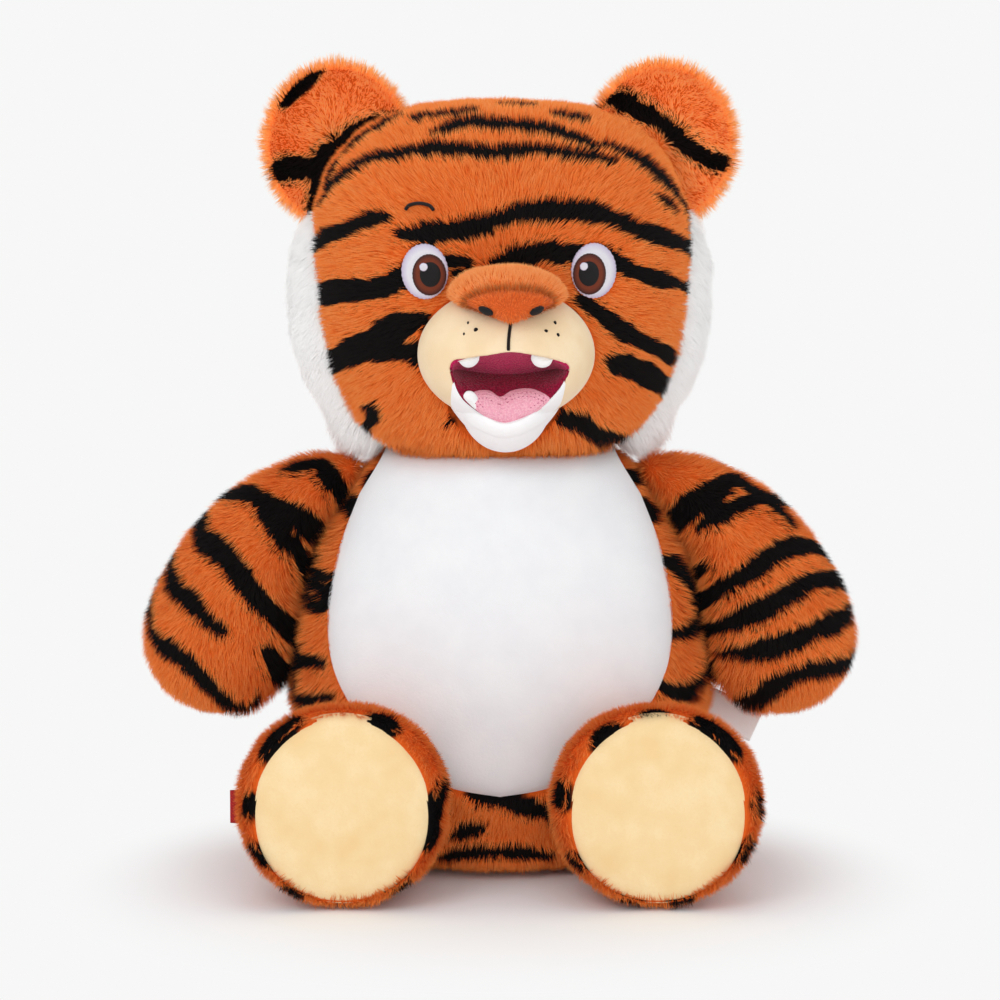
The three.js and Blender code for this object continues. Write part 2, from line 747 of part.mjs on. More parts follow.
/** The open mouth: a cloth pocket with its palate, tongue and teeth, and the jaw under it. */
function mouthPieces() {
  const { cloth: wall, depth } = mouth;
  const through = (outline) => prism(outline, -beyond, 0);
  const pocket = through(mouthOutline(0)).intersect(mouthSlice(0, depth));
  const room = through(mouthOutline(-wall)).intersect(mouthSlice(-beyond, depth - wall));
  const inside = through(mouthOutline(-wall - gap)).intersect(mouthSlice(0, depth - wall - gap));
  const slab = new THREE.BoxGeometry(2 * mouth.halfWidth, 2 * depth, palate.thickness).rotateX(-palate.fall);
  const middle = palate.frontDepth + depth / 2;
  slab.translate(0, lipsY + middle, palate.frontZ - middle * Math.tan(palate.fall));
  const roof = solidOf(slab).intersect(inside).intersect(mouthSlice(palate.frontDepth, depth));
  const slice = mouthSlice(tongue.frontDepth, tongue.frontDepth + tongue.thickness);
  const pad = through(tongueOutline()).intersect(slice).intersect(inside);
  const face = headForm(gap).add(muzzleForm(gap));
  const under = jawForm().subtract(face).subtract(mouthCutter(gap));
  const teeth = [
    ['tooth_upper_left', toothSolid(tooth.upperLeftX, mouth.cornerZ, -1, inside)],
    ['tooth_upper_right', toothSolid(tooth.upperRightX, mouth.cornerZ, -1, inside)],
    ['tooth_lower', toothSolid(tooth.lowerX, tooth.lowerZ, 1, inside)],
  ];
  return [
    piece('mouth_lining', pocket.subtract(room), cloth(colours.lining)),
    piece('palate', largest(roof), cloth(colours.maroon)),
    piece('tongue', largest(pad), cloth(colours.pink)),
    piece('jaw', largest(under), cloth(colours.white)),
    ...teeth.map(([name, solid]) => piece(name, solid, cloth(colours.white, 0.7))),
  ];
}

/** The lower jaw's outer form. */
function jawForm() {
  return ellipsoid(0, jaw.inset - head.front, jaw.centreZ, jaw.half, 0);
}

/** One small cloth tooth, rooted in the mouth's wall. The way is -1 for one that points down. */
function toothSolid(x, z, way, inside) {
  const { halfWidth, height, root, frontDepth, thickness } = tooth;
  const steps = outlineSides / 2;
  const outline = Array.from({ length: steps + 1 }, (_, step) => {
    const angle = (step / steps) * Math.PI;
    return [x + halfWidth * Math.cos(angle), z + way * height * Math.sin(angle)];
  });
  outline.push([x - halfWidth, z - way * root], [x + halfWidth, z - way * root]);
  const ordered = way > 0 ? outline : outline.reverse();
  const slice = mouthSlice(frontDepth, frontDepth + thickness);
  return largest(prism(ordered, -beyond, 0).intersect(slice).intersect(inside));
}

/** One panel of an ear: a dished disc between two depths behind the rim. */
function earPanel(radius, frontDepth, rearDepth) {
  const dished = (depth) =>
    Array.from({ length: earSteps + 1 }, (_, step) => {
      const share = step / earSteps;
      return new THREE.Vector2(share * radius, depth - (ear.cup + ear.rim) * share ** 2);
    });
  const geometry = new THREE.LatheGeometry([...dished(frontDepth), ...dished(rearDepth).reverse()], earSides);
  if (sixVolumes(geometry) < 0) {
    geometry.setIndex(Array.from(geometry.index.array).reverse());
  }
  geometry.scale(ear.halfWidth / ear.halfHeight, 1, 1);
  return solidOf(geometry.translate(head.halfWidth - ear.inset, ear.centreY, head.top - ear.drop));
}

/** The two panels of the left ear, clear of the head as the ear bends. */
function earSolids() {
  const { inset, centreY, drop, halfHeight, cloth: ply, cup, rootX, rootZ, bend } = ear;
  const root = new THREE.Vector3(head.halfWidth - inset - rootX, centreY, head.top - drop - rootZ);
  const alongRoot = new THREE.Vector3(1, 0, -1).normalize();
  const headSide = headForm(gap).add(ruffForm(gap));
  const rear = earPanel(halfHeight, cup - ply, cup);
  const front = earPanel(halfHeight - ply / 2, cup - 2 * ply - gap, cup - ply - gap);
  const sweep = [root, alongRoot, -bend, bend, earClearSteps];
  return [front, rear].map((panel) => keptClear(panel, headSide, ...sweep));
}

/** The head with everything on it, on the neck and turned a little towards the toy's left. */
function headGroup() {
  const group = new THREE.Group();
  group.position.z = neckHeight;
  group.rotation.z = headTurn;
  const layer = headForm(gap + thread).subtract(headForm(gap));
  group.add(...headCovers());
  group.add(...muzzlePieces());
  group.add(...mouthPieces());
  group.add(...eyePieces(1, 'left', layer));
  group.add(...eyePieces(-1, 'right', layer));
  group.add(browPiece(layer));
  const [earFront, earBack] = earSolids();
  group.add(piece('ear_front_left', earFront, cloth(colours.orange)));
  group.add(piece('ear_back_left', earBack, cloth(colours.orange)));
  group.add(piece('ear_front_right', mirrored(earFront), cloth(colours.orange)));
  group.add(piece('ear_back_right', mirrored(earBack), cloth(colours.orange)));
  return group;
}

/**
 * A limb's outer form through stations along its middle, grown outwards by a margin square to its surface.
 * Each station has a centre, its half width and half depth, and the directions of both.
 */
function limbForm(stations, sides, squareness, margin) {
  const radius = ({ halfWidth, halfDepth }) => (halfWidth + halfDepth) / 2;
  const rings = stations.map((station, index) => {
    const before = stations[Math.max(index - 1, 0)];
    const after = stations[Math.min(index + 1, stations.length - 1)];
    const along = after.centre.clone().sub(before.centre);
    const slope = new THREE.Vector2(along.length(), radius(after) - radius(before)).normalize();
    const isPoint = index === 0 || index === stations.length - 1;
    const growth = isPoint ? 0 : margin * slope.x;
    const shift = isPoint ? -Math.sign(slope.y) : -slope.y;
    const depth = station.over.clone().multiplyScalar(station.halfDepth + growth);
    return {
      centre: station.centre.clone().addScaledVector(along.normalize(), margin * shift),
      across: station.across.clone().multiplyScalar(station.halfWidth + growth),
      front: depth,
      back: depth.clone().negate(),
    };
  });
  return ringedForm(rings, sides, squareness);
}

/** The left arm's outer form, grown outwards by a margin. */
function armForm(margin) {
  const [sides, steps] = facesAt(limbFaces, margin);
  const rows = smoothRows(armLine, steps);
  const stations = rows.map(([out, drop, halfWidth, halfDepth], index) => {
    const before = rows[Math.max(index - 1, 0)];
    const after = rows[Math.min(index + 1, rows.length - 1)];
    const y = THREE.MathUtils.lerp(arm.shoulderY, arm.handY, index / steps);
    return {
      centre: new THREE.Vector3(torso.halfWidth + out, y, neckHeight - drop),
      across: new THREE.Vector3(before[1] - after[1], 0, before[0] - after[0]).normalize(),
      over: new THREE.Vector3(0, -1, 0),
      halfWidth,
      halfDepth,
    };
  });
  return limbForm(stations, sides, arm.squareness, margin);
}

/** The left leg's outer form, grown outwards by a margin. Its underside lies on the floor all along. */
function legForm(margin) {
  const [sides, steps] = facesAt(limbFaces, margin);
  const rows = smoothRows(legLine, steps);
  const stations = rows.map(([x, y, halfWidth, halfHeight]) => ({
    centre: new THREE.Vector3(x, y, Math.max(halfHeight, leg.pivotZ) - restCut),
    across: new THREE.Vector3(1, 0, 0),
    over: new THREE.Vector3(0, 0, 1),
    halfWidth,
    halfDepth: halfHeight,
  }));
  return limbForm(stations, sides, leg.squareness, margin);
}

/** The tail's outer form, grown outwards by a margin. */
function tailForm(margin) {
  const [sides, steps] = facesAt(tailFaces, margin);
  const middle = tailLine.map(([x, out, z]) => new THREE.Vector3(x, torso.back + out, z));
  const line = new THREE.CatmullRomCurve3(middle);
  const widths = smoothRows(tailShares.map((share) => [share * tail.radius]), steps);
  const stations = widths.map(([radius], step) => {
    const along = line.getTangent(step / steps);
    const across = new THREE.Vector3(along.y, -along.x, 0).normalize();
    return {
      centre: line.getPoint(step / steps),
      across,
      over: new THREE.Vector3().crossVectors(across, along).normalize(),
      halfWidth: radius,
      halfDepth: radius,
    };
  });
  return limbForm(stations, sides, tail.squareness, margin);
}

/** A limb as a skin open at its root and the filling inside it, both clear of the torso in every pose. */
function skinAndFilling(form, pivot, axis, from, to, steps) {
  const aboveFloor = block([-beyond, -beyond, 0], [beyond, beyond, beyond]);
  const clearOf = (solid, room) =>
    keptClear(solid.intersect(aboveFloor), torsoForm(room), pivot, axis, from, to, steps);
  const cover = clearOf(form(0), swingGap).subtract(form(-skin));
  return { skin: largest(cover), filling: clearOf(form(-skin - gap), swingGap + skin) };
}

/** Both arms. */
function armPieces() {
  const axis = new THREE.Vector3(-1, 0, 0);
  const pivot = new THREE.Vector3(torso.halfWidth + arm.pivotX, arm.shoulderY, neckHeight - arm.pivotDrop);
  const left = skinAndFilling(armForm, pivot, axis, arm.back, arm.forward, armClearSteps);
  const headAbove = headForm(gap).add(ruffForm(gap)).intersect(aboveNeck).translate([0, 0, neckHeight]);
  const under = (solid) => keptClear(solid, headAbove, pivot, axis, arm.back, arm.forward, armHeadClearSteps);
  return [
    piece('arm_skin_left', under(left.skin), cloth(colours.orange)),
    piece('arm_stuffing_left', under(left.filling), cloth(colours.filling)),
    piece('arm_skin_right', mirrored(under(left.skin)), cloth(colours.orange)),
    piece('arm_stuffing_right', mirrored(under(left.filling)), cloth(colours.filling)),
  ];
}

/** Both legs, each with its cream sole. */
function legPieces() {
  const axis = new THREE.Vector3(-1, 0, 0);
  const pivot = new THREE.Vector3(leg.pivotX, leg.pivotY, leg.pivotZ);
  const left = skinAndFilling(legForm, pivot, axis, leg.down, leg.up, legClearSteps);
  const [middle, footY] = legLine[legLine.length - 1];
  const middleZ = legForm(0).boundingBox().max[2] / 2;
  const disc = (margin) => {
    const rim = ellipse(middle, middleZ, sole.halfWidth + margin, sole.halfHeight + margin);
    return prism(rim, -beyond, footY + sole.rimDepth);
  };
  const underfoot = largest(left.skin.intersect(disc(0)));
  const upper = largest(left.skin.subtract(disc(gap)));
  return [
    piece('leg_skin_left', upper, cloth(colours.orange)),
    piece('sole_left', underfoot, cloth(colours.cream)),
    piece('leg_stuffing_left', left.filling, cloth(colours.filling)),
    piece('leg_skin_right', mirrored(upper), cloth(colours.orange)),
    piece('sole_right', mirrored(underfoot), cloth(colours.cream)),
    piece('leg_stuffing_right', mirrored(left.filling), cloth(colours.filling)),
    footTagPiece(),
  ];
}

/** The ribbon in the seam of the right foot. */
function footTagPiece() {
  const { y, z, width, length, height } = footTag;
  const foot = mirrored(legForm(gap));
  const outer = foot.boundingBox().min[0] + gap - length;
  const ribbon = block([outer, y - width / 2, z - height / 2], [-leg.pivotX, y + width / 2, z + height / 2]);
  return piece('foot_tag', largest(ribbon.subtract(foot)), cloth(colours.red, 0.7));
}

/** The tail. */
function tailPieces() {
  const axis = new THREE.Vector3(0, 0, 1);
  const pivot = new THREE.Vector3(0, torso.back - tail.pivotInset, tail.pivotZ);
  const sweep = [-tail.swing, tail.swing, tailClearSteps];
  const { skin: cover, filling } = skinAndFilling(tailForm, pivot, axis, ...sweep);
  return [
    piece('tail_skin', cover, cloth(colours.orange)),
    piece('tail_stuffing', filling, cloth(colours.filling)),
  ];
}

const tiger = new THREE.Group();
tiger.add(...torsoPieces(), zipPieces(), careLabelPiece());
tiger.add(headGroup());
tiger.add(...armPieces(), ...legPieces(), ...tailPieces());

export default tiger;
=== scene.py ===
import math

import bpy
import numpy as np
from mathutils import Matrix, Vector
from mathutils.bvhtree import BVHTree


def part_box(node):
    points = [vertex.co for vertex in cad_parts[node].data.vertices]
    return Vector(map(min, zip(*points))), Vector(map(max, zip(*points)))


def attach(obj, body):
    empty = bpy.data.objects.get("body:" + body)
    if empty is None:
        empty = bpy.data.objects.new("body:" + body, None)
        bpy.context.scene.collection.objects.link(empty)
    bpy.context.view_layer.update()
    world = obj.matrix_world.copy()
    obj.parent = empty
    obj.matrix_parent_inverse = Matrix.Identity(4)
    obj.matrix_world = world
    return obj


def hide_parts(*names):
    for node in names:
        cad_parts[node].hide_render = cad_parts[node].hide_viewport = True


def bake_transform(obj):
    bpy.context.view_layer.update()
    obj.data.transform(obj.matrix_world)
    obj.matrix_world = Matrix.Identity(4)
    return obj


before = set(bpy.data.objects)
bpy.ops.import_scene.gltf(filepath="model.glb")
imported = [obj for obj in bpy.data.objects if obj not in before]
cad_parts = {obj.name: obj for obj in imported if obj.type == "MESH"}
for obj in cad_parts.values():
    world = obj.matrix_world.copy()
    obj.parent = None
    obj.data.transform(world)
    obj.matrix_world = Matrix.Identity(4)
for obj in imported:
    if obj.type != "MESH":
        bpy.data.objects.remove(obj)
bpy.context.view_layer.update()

# Sizes are in millimetres here and become metres where a mesh is made.
MM = 0.001
PILE = 4.0  # height of the fur's tips above the cloth that they grow from
ROOT = -PILE  # how far the cloth lies outside the toy's outline
SHELL = -1.0  # and the surface that the stripes are laid on
DENSITY = 1.0
NECK = 206.0  # where the head begins
HEAD_TURN = math.radians(3.5)
SIDES = {"left": 1, "right": -1}
FAR = 1e9


def unit(vectors):
    return vectors / np.maximum(np.linalg.norm(vectors, axis=-1, keepdims=True), 1e-9)


def waves(points, scale, seed):
    """A smooth random field between about -1 and 1, with features of about this size."""
    chance = np.random.default_rng(seed)
    total = np.zeros(len(points))
    for _ in range(6):
        direction = unit(chance.normal(size=3))
        length = scale * chance.uniform(0.7, 1.6)
        total += np.sin(points @ direction * 2 * math.pi / length + chance.uniform(0, 2 * math.pi))
    return total / 3.5


def across_flow(flow, facing):
    """The part of a direction that lies in the surface."""
    return flow - facing * np.einsum("ij,ij->i", flow, facing)[:, None]


# ---- camera ----
EYE = np.array([0, -2178.6, 483.5])
AIM = np.array([0, 0, 177.3])
PICTURE = 1000  # the picture's width and height in pixels
FOCAL = 4334.0  # in pixels
SENSOR = 36
PIXEL = 0.507  # what a pixel spans at the toy's middle


def added(name, data):
    made = bpy.data.objects.new(name, data)
    bpy.context.scene.collection.objects.link(made)
    return made


def turned_to(way):
    return Vector(way).to_track_quat("-Z", "Y").to_euler()


def make_camera():
    data = bpy.data.cameras.new("camera")
    data.sensor_width = SENSOR
    data.lens = FOCAL * SENSOR / PICTURE
    camera = added("camera", data)
    camera.location = Vector(EYE) * MM
    camera.rotation_euler = turned_to(AIM - EYE)
    bpy.context.scene.camera = camera


def sight(x, y):
    """The direction in which the camera sees a pixel of the picture."""
    forward = unit(AIM - EYE)
    right = np.array([1.0, 0, 0])
    up = np.cross(right, forward)
    return unit(forward + right * (x - PICTURE / 2) / FOCAL + up * (PICTURE / 2 - y) / FOCAL)


make_camera()


# ---- forms: each is its points and its triangles ----
def smooth_rows(rows, steps):
    """The rows of a table, with more rows between them on a smooth curve."""
    rows = np.array(rows, float)
    last = len(rows) - 1
    at = np.linspace(0, last, steps + 1)
    low = np.minimum(at.astype(int), last - 1)
    share = (at - low)[:, None]
    before, start, end, after = (rows[np.clip(low + k, 0, last)] for k in (-1, 0, 1, 2))
    leave, arrive = (end - before) / 2, (after - start) / 2
    cubic = (2 * start - 2 * end + leave + arrive) * share**3
    square = (3 * end - 3 * start - 2 * leave - arrive) * share**2
    return cubic + square + leave * share + start


def neighbours(rows):
    """The row before and the row after each row of a table."""
    index = np.arange(len(rows))
    return rows[np.maximum(index - 1, 0)], rows[np.minimum(index + 1, len(rows) - 1)]


def run_along(points):
    """How far along a line each of its points lies."""
    return np.concatenate([[0], np.cumsum(np.linalg.norm(np.diff(points, axis=0), axis=1))])


def squared(value, squareness):
    return np.sign(value) * np.abs(value) ** (2 / squareness)


def facing_out(points, faces):
    a, b, c = (points[faces[:, k]] for k in range(3))
    return faces if np.einsum("ij,ij->i", a, np.cross(b, c)).sum() > 0 else faces[:, ::-1]


def closed(rings):
    """A closed skin over rings, whose first and last rings are points."""
    count, sides, _ = rings.shape
    points = np.vstack([rings[1:-1].reshape(-1, 3), rings[0, :1], rings[-1, :1]])
    first, last = len(points) - 2, len(points) - 1
    side = np.arange(sides)
    following = (side + 1) % sides
    end = (count - 3) * sides
    faces = [
        np.stack([np.full(sides, first), following, side], 1),
        np.stack([np.full(sides, last), end + side, end + following], 1),
    ]
    for start in range(0, end, sides):
        faces.append(np.stack([start + side, start + following, start + sides + side], 1))
        faces.append(np.stack([start + following, start + sides + following, start + sides + side], 1))
    faces = np.vstack(faces)
    return points, facing_out(points - points.mean(0), faces)


def slab(front, back):
    """A closed sheet between two grids of points that have the same rows and columns."""
    rows, columns, _ = front.shape
    grid = np.arange(rows * columns).reshape(rows, columns)
    corners = [grid[:-1, :-1], grid[1:, :-1], grid[1:, 1:], grid[:-1, 1:]]
    a, b, c, d = (corner.ravel() for corner in corners)
    face = np.vstack([np.stack([a, b, c], 1), np.stack([a, c, d], 1)])
    rim = np.concatenate([grid[:-1, 0], grid[-1, :-1], grid[:0:-1, -1], grid[0, :0:-1]])
    following = np.roll(rim, -1)
    below = rows * columns
    wall = [np.stack([rim, rim + below, following], 1), np.stack([following, rim + below, following + below], 1)]
    points = np.vstack([front.reshape(-1, 3), back.reshape(-1, 3)])
    return points, facing_out(points, np.vstack([face, face[:, ::-1] + below, *wall]))


def joined(forms):
    """Several forms as one."""
    starts = np.cumsum([0] + [len(points) for points, _ in forms])
    faces = [faces + start for (_, faces), start in zip(forms, starts)]
    return np.vstack([points for points, _ in forms]), np.vstack(faces)


def grown_size(size, margin):
    """A swelling form's base, height, half width, front and back when it is grown outwards by a margin."""
    base, top = size["base"] - margin, size["top"] + margin
    return base, top - base, size["half"] + margin, size["front"] + margin, size["back"] + margin


def rounds(size, margin, angles, steps):
    """Rings of an upright swelling form, grown outwards. Angles give one row for all rings or one each."""
    rows = smooth_rows(size["rows"], steps)
    lean = rows[:, 4] if rows.shape[1] > 4 else 0 * rows[:, 0]
    base, height, half, front, back = grown_size(size, margin)
    angles = np.broadcast_to(angles, (steps + 1, np.shape(angles)[-1]))
    across = squared(np.cos(angles), size["squareness"])
    along = squared(np.sin(angles), size["squareness"])
    x = size.get("x", 0) - lean[:, None] * size.get("shift", 0) + rows[:, 1:2] * half * across
    y = np.where(along > 0, rows[:, 3:4] * back, rows[:, 2:3] * front) * along
    z = np.broadcast_to((base + rows[:, 0] * height)[:, None], x.shape)
    return np.stack([x, y, z], -1)


def round_angles(sides):
    return np.arange(sides) / sides * 2 * math.pi


def limb_rings(centres, across, over, halves, squareness, margin, sides):
    """Rings along a limb, grown outwards by a margin square to the surface."""
    before, after = neighbours(centres)
    along = after - before
    thinner, thicker = neighbours(halves.mean(1))
    slope = unit(np.stack([np.linalg.norm(along, axis=1), thicker - thinner], 1))
    growth = margin * slope[:, 0]
    shift = -slope[:, 1]
    growth[[0, -1]] = 0
    shift[0], shift[-1] = -1, 1
    middle = centres + unit(along) * (margin * shift)[:, None]
    angle = round_angles(sides)
    halves = np.maximum(halves + growth[:, None], 0)
    wide = squared(np.cos(angle), squareness)[None, :, None] * across[:, None] * halves[:, None, :1]
    deep = squared(np.sin(angle), squareness)[None, :, None] * over[:, None] * halves[:, None, 1:]
    return middle[:, None] + wide + deep


# Rows of a swelling form: height, then half width, front and back, and for the ruffs a lean, as shares.
TORSO = {"base": -0.5, "top": 212, "half": 104, "front": 90.5, "back": 80, "squareness": 2.2, "rows": [
    [0, 0, 0, 0], [0.01, 0.62, 0.87, 0.6], [0.07, 0.85, 0.99, 0.87], [0.23, 0.97, 1, 0.985], [0.45, 1, 1, 0.97],
    [0.67, 0.92, 0.91, 0.925], [0.86, 0.76, 0.77, 0.79], [0.97, 0.55, 0.62, 0.6], [1, 0, 0, 0],
]}
HEAD = {"base": -4, "top": 175, "half": 97, "front": 82, "back": 76, "squareness": 2.5, "rows": [
    [0, 0, 0, 0], [0.012, 0.46, 0.54, 0.5], [0.06, 0.7, 0.76, 0.72], [0.15, 0.85, 0.89, 0.86],
    [0.31, 0.96, 0.98, 0.96], [0.5, 1, 1, 1], [0.68, 0.985, 0.94, 0.97], [0.84, 0.87, 0.76, 0.83],
    [0.945, 0.65, 0.52, 0.6], [0.99, 0.38, 0.3, 0.34], [1, 0, 0, 0],
]}
RUFF = {"base": 0.5, "top": 127, "x": 70, "half": 39, "front": 36, "back": 44, "shift": 16, "squareness": 2.4, "rows": [
    [0, 0, 0, 0, 1], [0.02, 0.5, 0.5, 0.5, 0.95], [0.1, 0.78, 0.74, 0.74, 0.72], [0.28, 0.95, 0.93, 0.93, 0.3],
    [0.5, 1, 1, 1, 0.03], [0.76, 0.97, 0.93, 0.95, 0], [0.95, 0.7, 0.6, 0.66, 0], [1, 0, 0, 0, 0],
]}
# x, z and the two half widths along an arm, and x, y and the two half widths along a leg
ARM_LINE = [
    [70, 197, 0, 0], [75, 195, 9, 11], [88, 189.5, 16, 19], [103, 180, 21.5, 25], [119, 164, 28.5, 30.5],
    [131, 143, 35, 34], [139.5, 120, 39.6, 36], [146, 98, 37.6, 34.5], [150, 81, 27, 26], [152, 73.5, 17, 16.5],
    [153, 70, 0, 0],
]
LEG_LINE = [
    [56, 14, 0, 0], [57, 10, 17, 17], [59, -2, 31, 32], [65, -34, 40.5, 39.5], [70, -70, 45, 42.5],
    [74, -108, 48.5, 46], [75, -134, 52.5, 50], [75.5, -147, 51.5, 49.8], [75.5, -153.5, 44, 43],
    [75.5, -156.5, 22, 22], [75.5, -157, 0, 0],
]
TAIL_LINE = [
    [0, 62, 38], [1, 84, 34], [5, 108, 29], [16, 132, 27], [36, 148, 30], [60, 153, 39], [80, 146, 52],
]
TAIL_RADIUS = 13
TAIL_SHARES = [0, 0.8, 1, 1, 1, 1, 1.02, 1.06, 1.1, 1.12, 1.14, 1.08, 0.86, 0.5, 0]
HEAD_WAY = np.array([
    [math.cos(HEAD_TURN), -math.sin(HEAD_TURN), 0], [math.sin(HEAD_TURN), math.cos(HEAD_TURN), 0], [0, 0, 1]
])


def on_head(points):
    """Points of the head's own frame, in the whole toy's frame."""
    return points @ HEAD_WAY.T + [0, 0, NECK]


def in_head(points):
    """Points of the whole toy's frame, in the head's own frame."""
    return (points - [0, 0, NECK]) @ HEAD_WAY


def placed(form, move=on_head):
    points, faces = form
    return move(points), faces


def mirrored(form, side):
    points, faces = form
    return form if side > 0 else (points * [-1, 1, 1], faces[:, ::-1])


def torso_form(margin, sides=220, steps=130):
    return closed(rounds(TORSO, margin, round_angles(sides), steps))


def head_form(margin, sides=220, steps=130):
    return placed(closed(rounds(HEAD, margin, round_angles(sides), steps)))


def ruff_form(side, margin, sides=120, steps=90):
    return placed(mirrored(closed(rounds(RUFF, margin, round_angles(sides), steps)), side))


def arm_form(side, margin, sides=120, steps=110):
    rows = smooth_rows(ARM_LINE, steps)
    y = np.linspace(-2, -11, steps + 1)
    before, after = neighbours(rows)
    across = unit(np.stack([after[:, 1] - before[:, 1], 0 * y, before[:, 0] - after[:, 0]], 1))
    over = np.tile([0.0, -1, 0], (steps + 1, 1))
    centres = np.stack([rows[:, 0], y, rows[:, 1]], 1)
    return mirrored(closed(limb_rings(centres, across, over, rows[:, 2:], 2, margin, sides)), side)


def leg_form(side, margin, sides=140, steps=110):
    rows = smooth_rows(LEG_LINE, steps)
    centres = np.stack([rows[:, 0], rows[:, 1], np.maximum(rows[:, 3], 42) - 0.5], 1)
    across = np.tile([1.0, 0, 0], (steps + 1, 1))
    over = np.tile([0, 0, 1.0], (steps + 1, 1))
    points, faces = closed(limb_rings(centres, across, over, rows[:, 2:], 2.1, margin, sides))
    points[:, 2] = np.maximum(points[:, 2], 0.2 - margin)  # pressed flat on the floor
    return mirrored((points, faces), side)


def tail_form(margin, sides=60, steps=140):
    middle = smooth_rows(TAIL_LINE, steps)
    radius = smooth_rows([[share * TAIL_RADIUS] for share in TAIL_SHARES], steps)
    along = unit(np.gradient(middle, axis=0))
    across = unit(np.stack([along[:, 1], -along[:, 0], 0 * along[:, 0]], 1))
    over = unit(np.cross(across, along))
    return closed(limb_rings(middle, across, over, np.hstack([radius, radius]), 2, margin, sides))


def ellipsoid(centre, half, margin=0, sides=96, steps=64):
    polar = np.linspace(0, math.pi, steps + 1)[:, None]
    angle = round_angles(sides)[None]
    shape = np.stack([np.sin(polar) * np.cos(angle), np.sin(polar) * np.sin(angle), np.cos(polar) + 0 * angle], -1)
    return closed(np.array(centre) + shape * (np.array(half) + margin))


def prism(outline, near, far):
    """A closed solid of an outline of x and z between two depths, each a number or a function of z."""
    outline = np.array(outline, float)
    centre = outline.mean(0)
    rings = []
    for depth, share in ((near, 0), (near, 1), (far, 1), (far, 0)):
        flat = centre + (outline - centre) * share
        y = depth(flat[:, 1]) if callable(depth) else np.full(len(flat), float(depth))
        rings.append(np.stack([flat[:, 0], y, flat[:, 1]], 1))
    return closed(np.array(rings))


def corner_normals(points, faces):
    a, b, c = (points[faces[:, k]] for k in range(3))
    flat = np.cross(b - a, c - a)
    normals = np.zeros_like(points)
    for k in range(3):
        np.add.at(normals, faces[:, k], flat)
    return unit(normals)


def filled_out(form, share, amount):
    """A form moved outwards by an amount times the share at each of its points."""
    points, faces = form
    normals = corner_normals(points, faces)
    return points + normals * (amount * share(points, normals))[:, None], faces


def tree_of(form):
    points, faces = form
    return BVHTree.FromPolygons(points.tolist(), faces.tolist())


# ---- meshes ----
def mesh_of(name, points, faces, smooth=True):
    """A mesh of triangles, in metres."""
    mesh = bpy.data.meshes.new(name)
    mesh.vertices.add(len(points))
    mesh.vertices.foreach_set("co", (np.asarray(points, np.float32) * MM).ravel())
    mesh.loops.add(faces.size)
    mesh.loops.foreach_set("vertex_index", np.asarray(faces, np.int32).ravel())
    mesh.polygons.add(len(faces))
    mesh.polygons.foreach_set("loop_start", np.arange(0, faces.size, 3, dtype=np.int32))
    mesh.polygons.foreach_set("use_smooth", np.full(len(faces), smooth))
    mesh.update(calc_edges=True)
    return mesh


def piece(name, form, body, material, nodes=(), slot=None, fill=None, blend=None):
    """A visible piece, of a form or a mesh, that rides on a body, or stays fixed in place where a bend between two is
    given.
    """
    mesh = form if isinstance(form, bpy.types.Mesh) else mesh_of(name, *form)
    made = added(name, mesh)
    mesh.materials.append(material)
    if blend:
        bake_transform(made)
    else:
        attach(made, body)
    if nodes:
        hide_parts(*nodes)
    return made


def riding(node_name, fill, body=None, blend=None, slot="orange_plush"):
    """How the cloth and the pile of one piece ride, and the node that they stand for."""
    return {"body": body, "nodes": [node_name], "slot": slot, "fill": fill, "blend": blend}


def set_values(mesh, name, values, repeat=1):
    made = mesh.attributes.new(name, "FLOAT", "POINT")
    made.data.foreach_set("value", np.repeat(values, repeat).astype(np.float32))


# ---- materials: colours are given in the picture's own numbers, from 0 to 255 ----
def srgb(colour):
    values = np.array(colour) / 255
    linear = np.where(values <= 0.04045, values / 12.92, ((values + 0.055) / 1.055) ** 2.4)
    return (*linear.tolist(), 1.0)


def darker(colour, share):
    return (*(c * share for c in colour[:3]), 1.0)


def nodes_of(name):
    material = bpy.data.materials.new(name)
    material.use_nodes = True
    tree = material.node_tree
    return material, tree, tree.nodes["Principled BSDF"]


def fed(tree, sockets, values):
    """Links or sets each of the sockets."""
    for key, value in values.items():
        if isinstance(value, bpy.types.NodeSocket):
            tree.links.new(value, sockets[key])
        else:
            sockets[key].default_value = value


def node(tree, kind, inputs=None, **settings):
    made = tree.nodes.new(kind)
    for key, value in settings.items():
        setattr(made, key, value)
    fed(tree, made.inputs, inputs or {})
    return made


def mix(tree, share, first, second):
    return node(tree, "ShaderNodeMix", {0: share, 6: first, 7: second}, data_type="RGBA").outputs[2]


def attribute(tree, name, output="Fac"):
    return node(tree, "ShaderNodeAttribute", attribute_name=name).outputs[output]


def here(tree):
    return node(tree, "ShaderNodeTexCoord").outputs["Object"]


def noise(tree, scale, detail=3.0, rough=0.6):
    settings = {"Vector": here(tree), "Scale": scale, "Detail": detail, "Roughness": rough}
    return node(tree, "ShaderNodeTexNoise", settings).outputs["Fac"]


def maths(tree, first, second, operation="MULTIPLY"):
    return node(tree, "ShaderNodeMath", {0: first, 1: second}, operation=operation).outputs[0]


def spread(tree, value, low, high, most=1.0):
    """A value between low and high as a share between nothing and the most."""
    return node(tree, "ShaderNodeMapRange", {0: value, 1: low, 2: high, 3: 0.0, 4: most}).outputs[0]


def bump(tree, shader, height, strength, distance):
    made = node(tree, "ShaderNodeBump", {"Height": height, "Strength": strength, "Distance": distance})
    tree.links.new(made.outputs[0], shader.inputs["Normal"])


def look(tree, shader, colour, roughness, specular=0.5, **others):
    fed(tree, shader.inputs, {"Base Color": colour, "Roughness": roughness, "Specular IOR Level": specular})
    fed(tree, shader.inputs, {key.replace("_", " ").title(): value for key, value in others.items()})


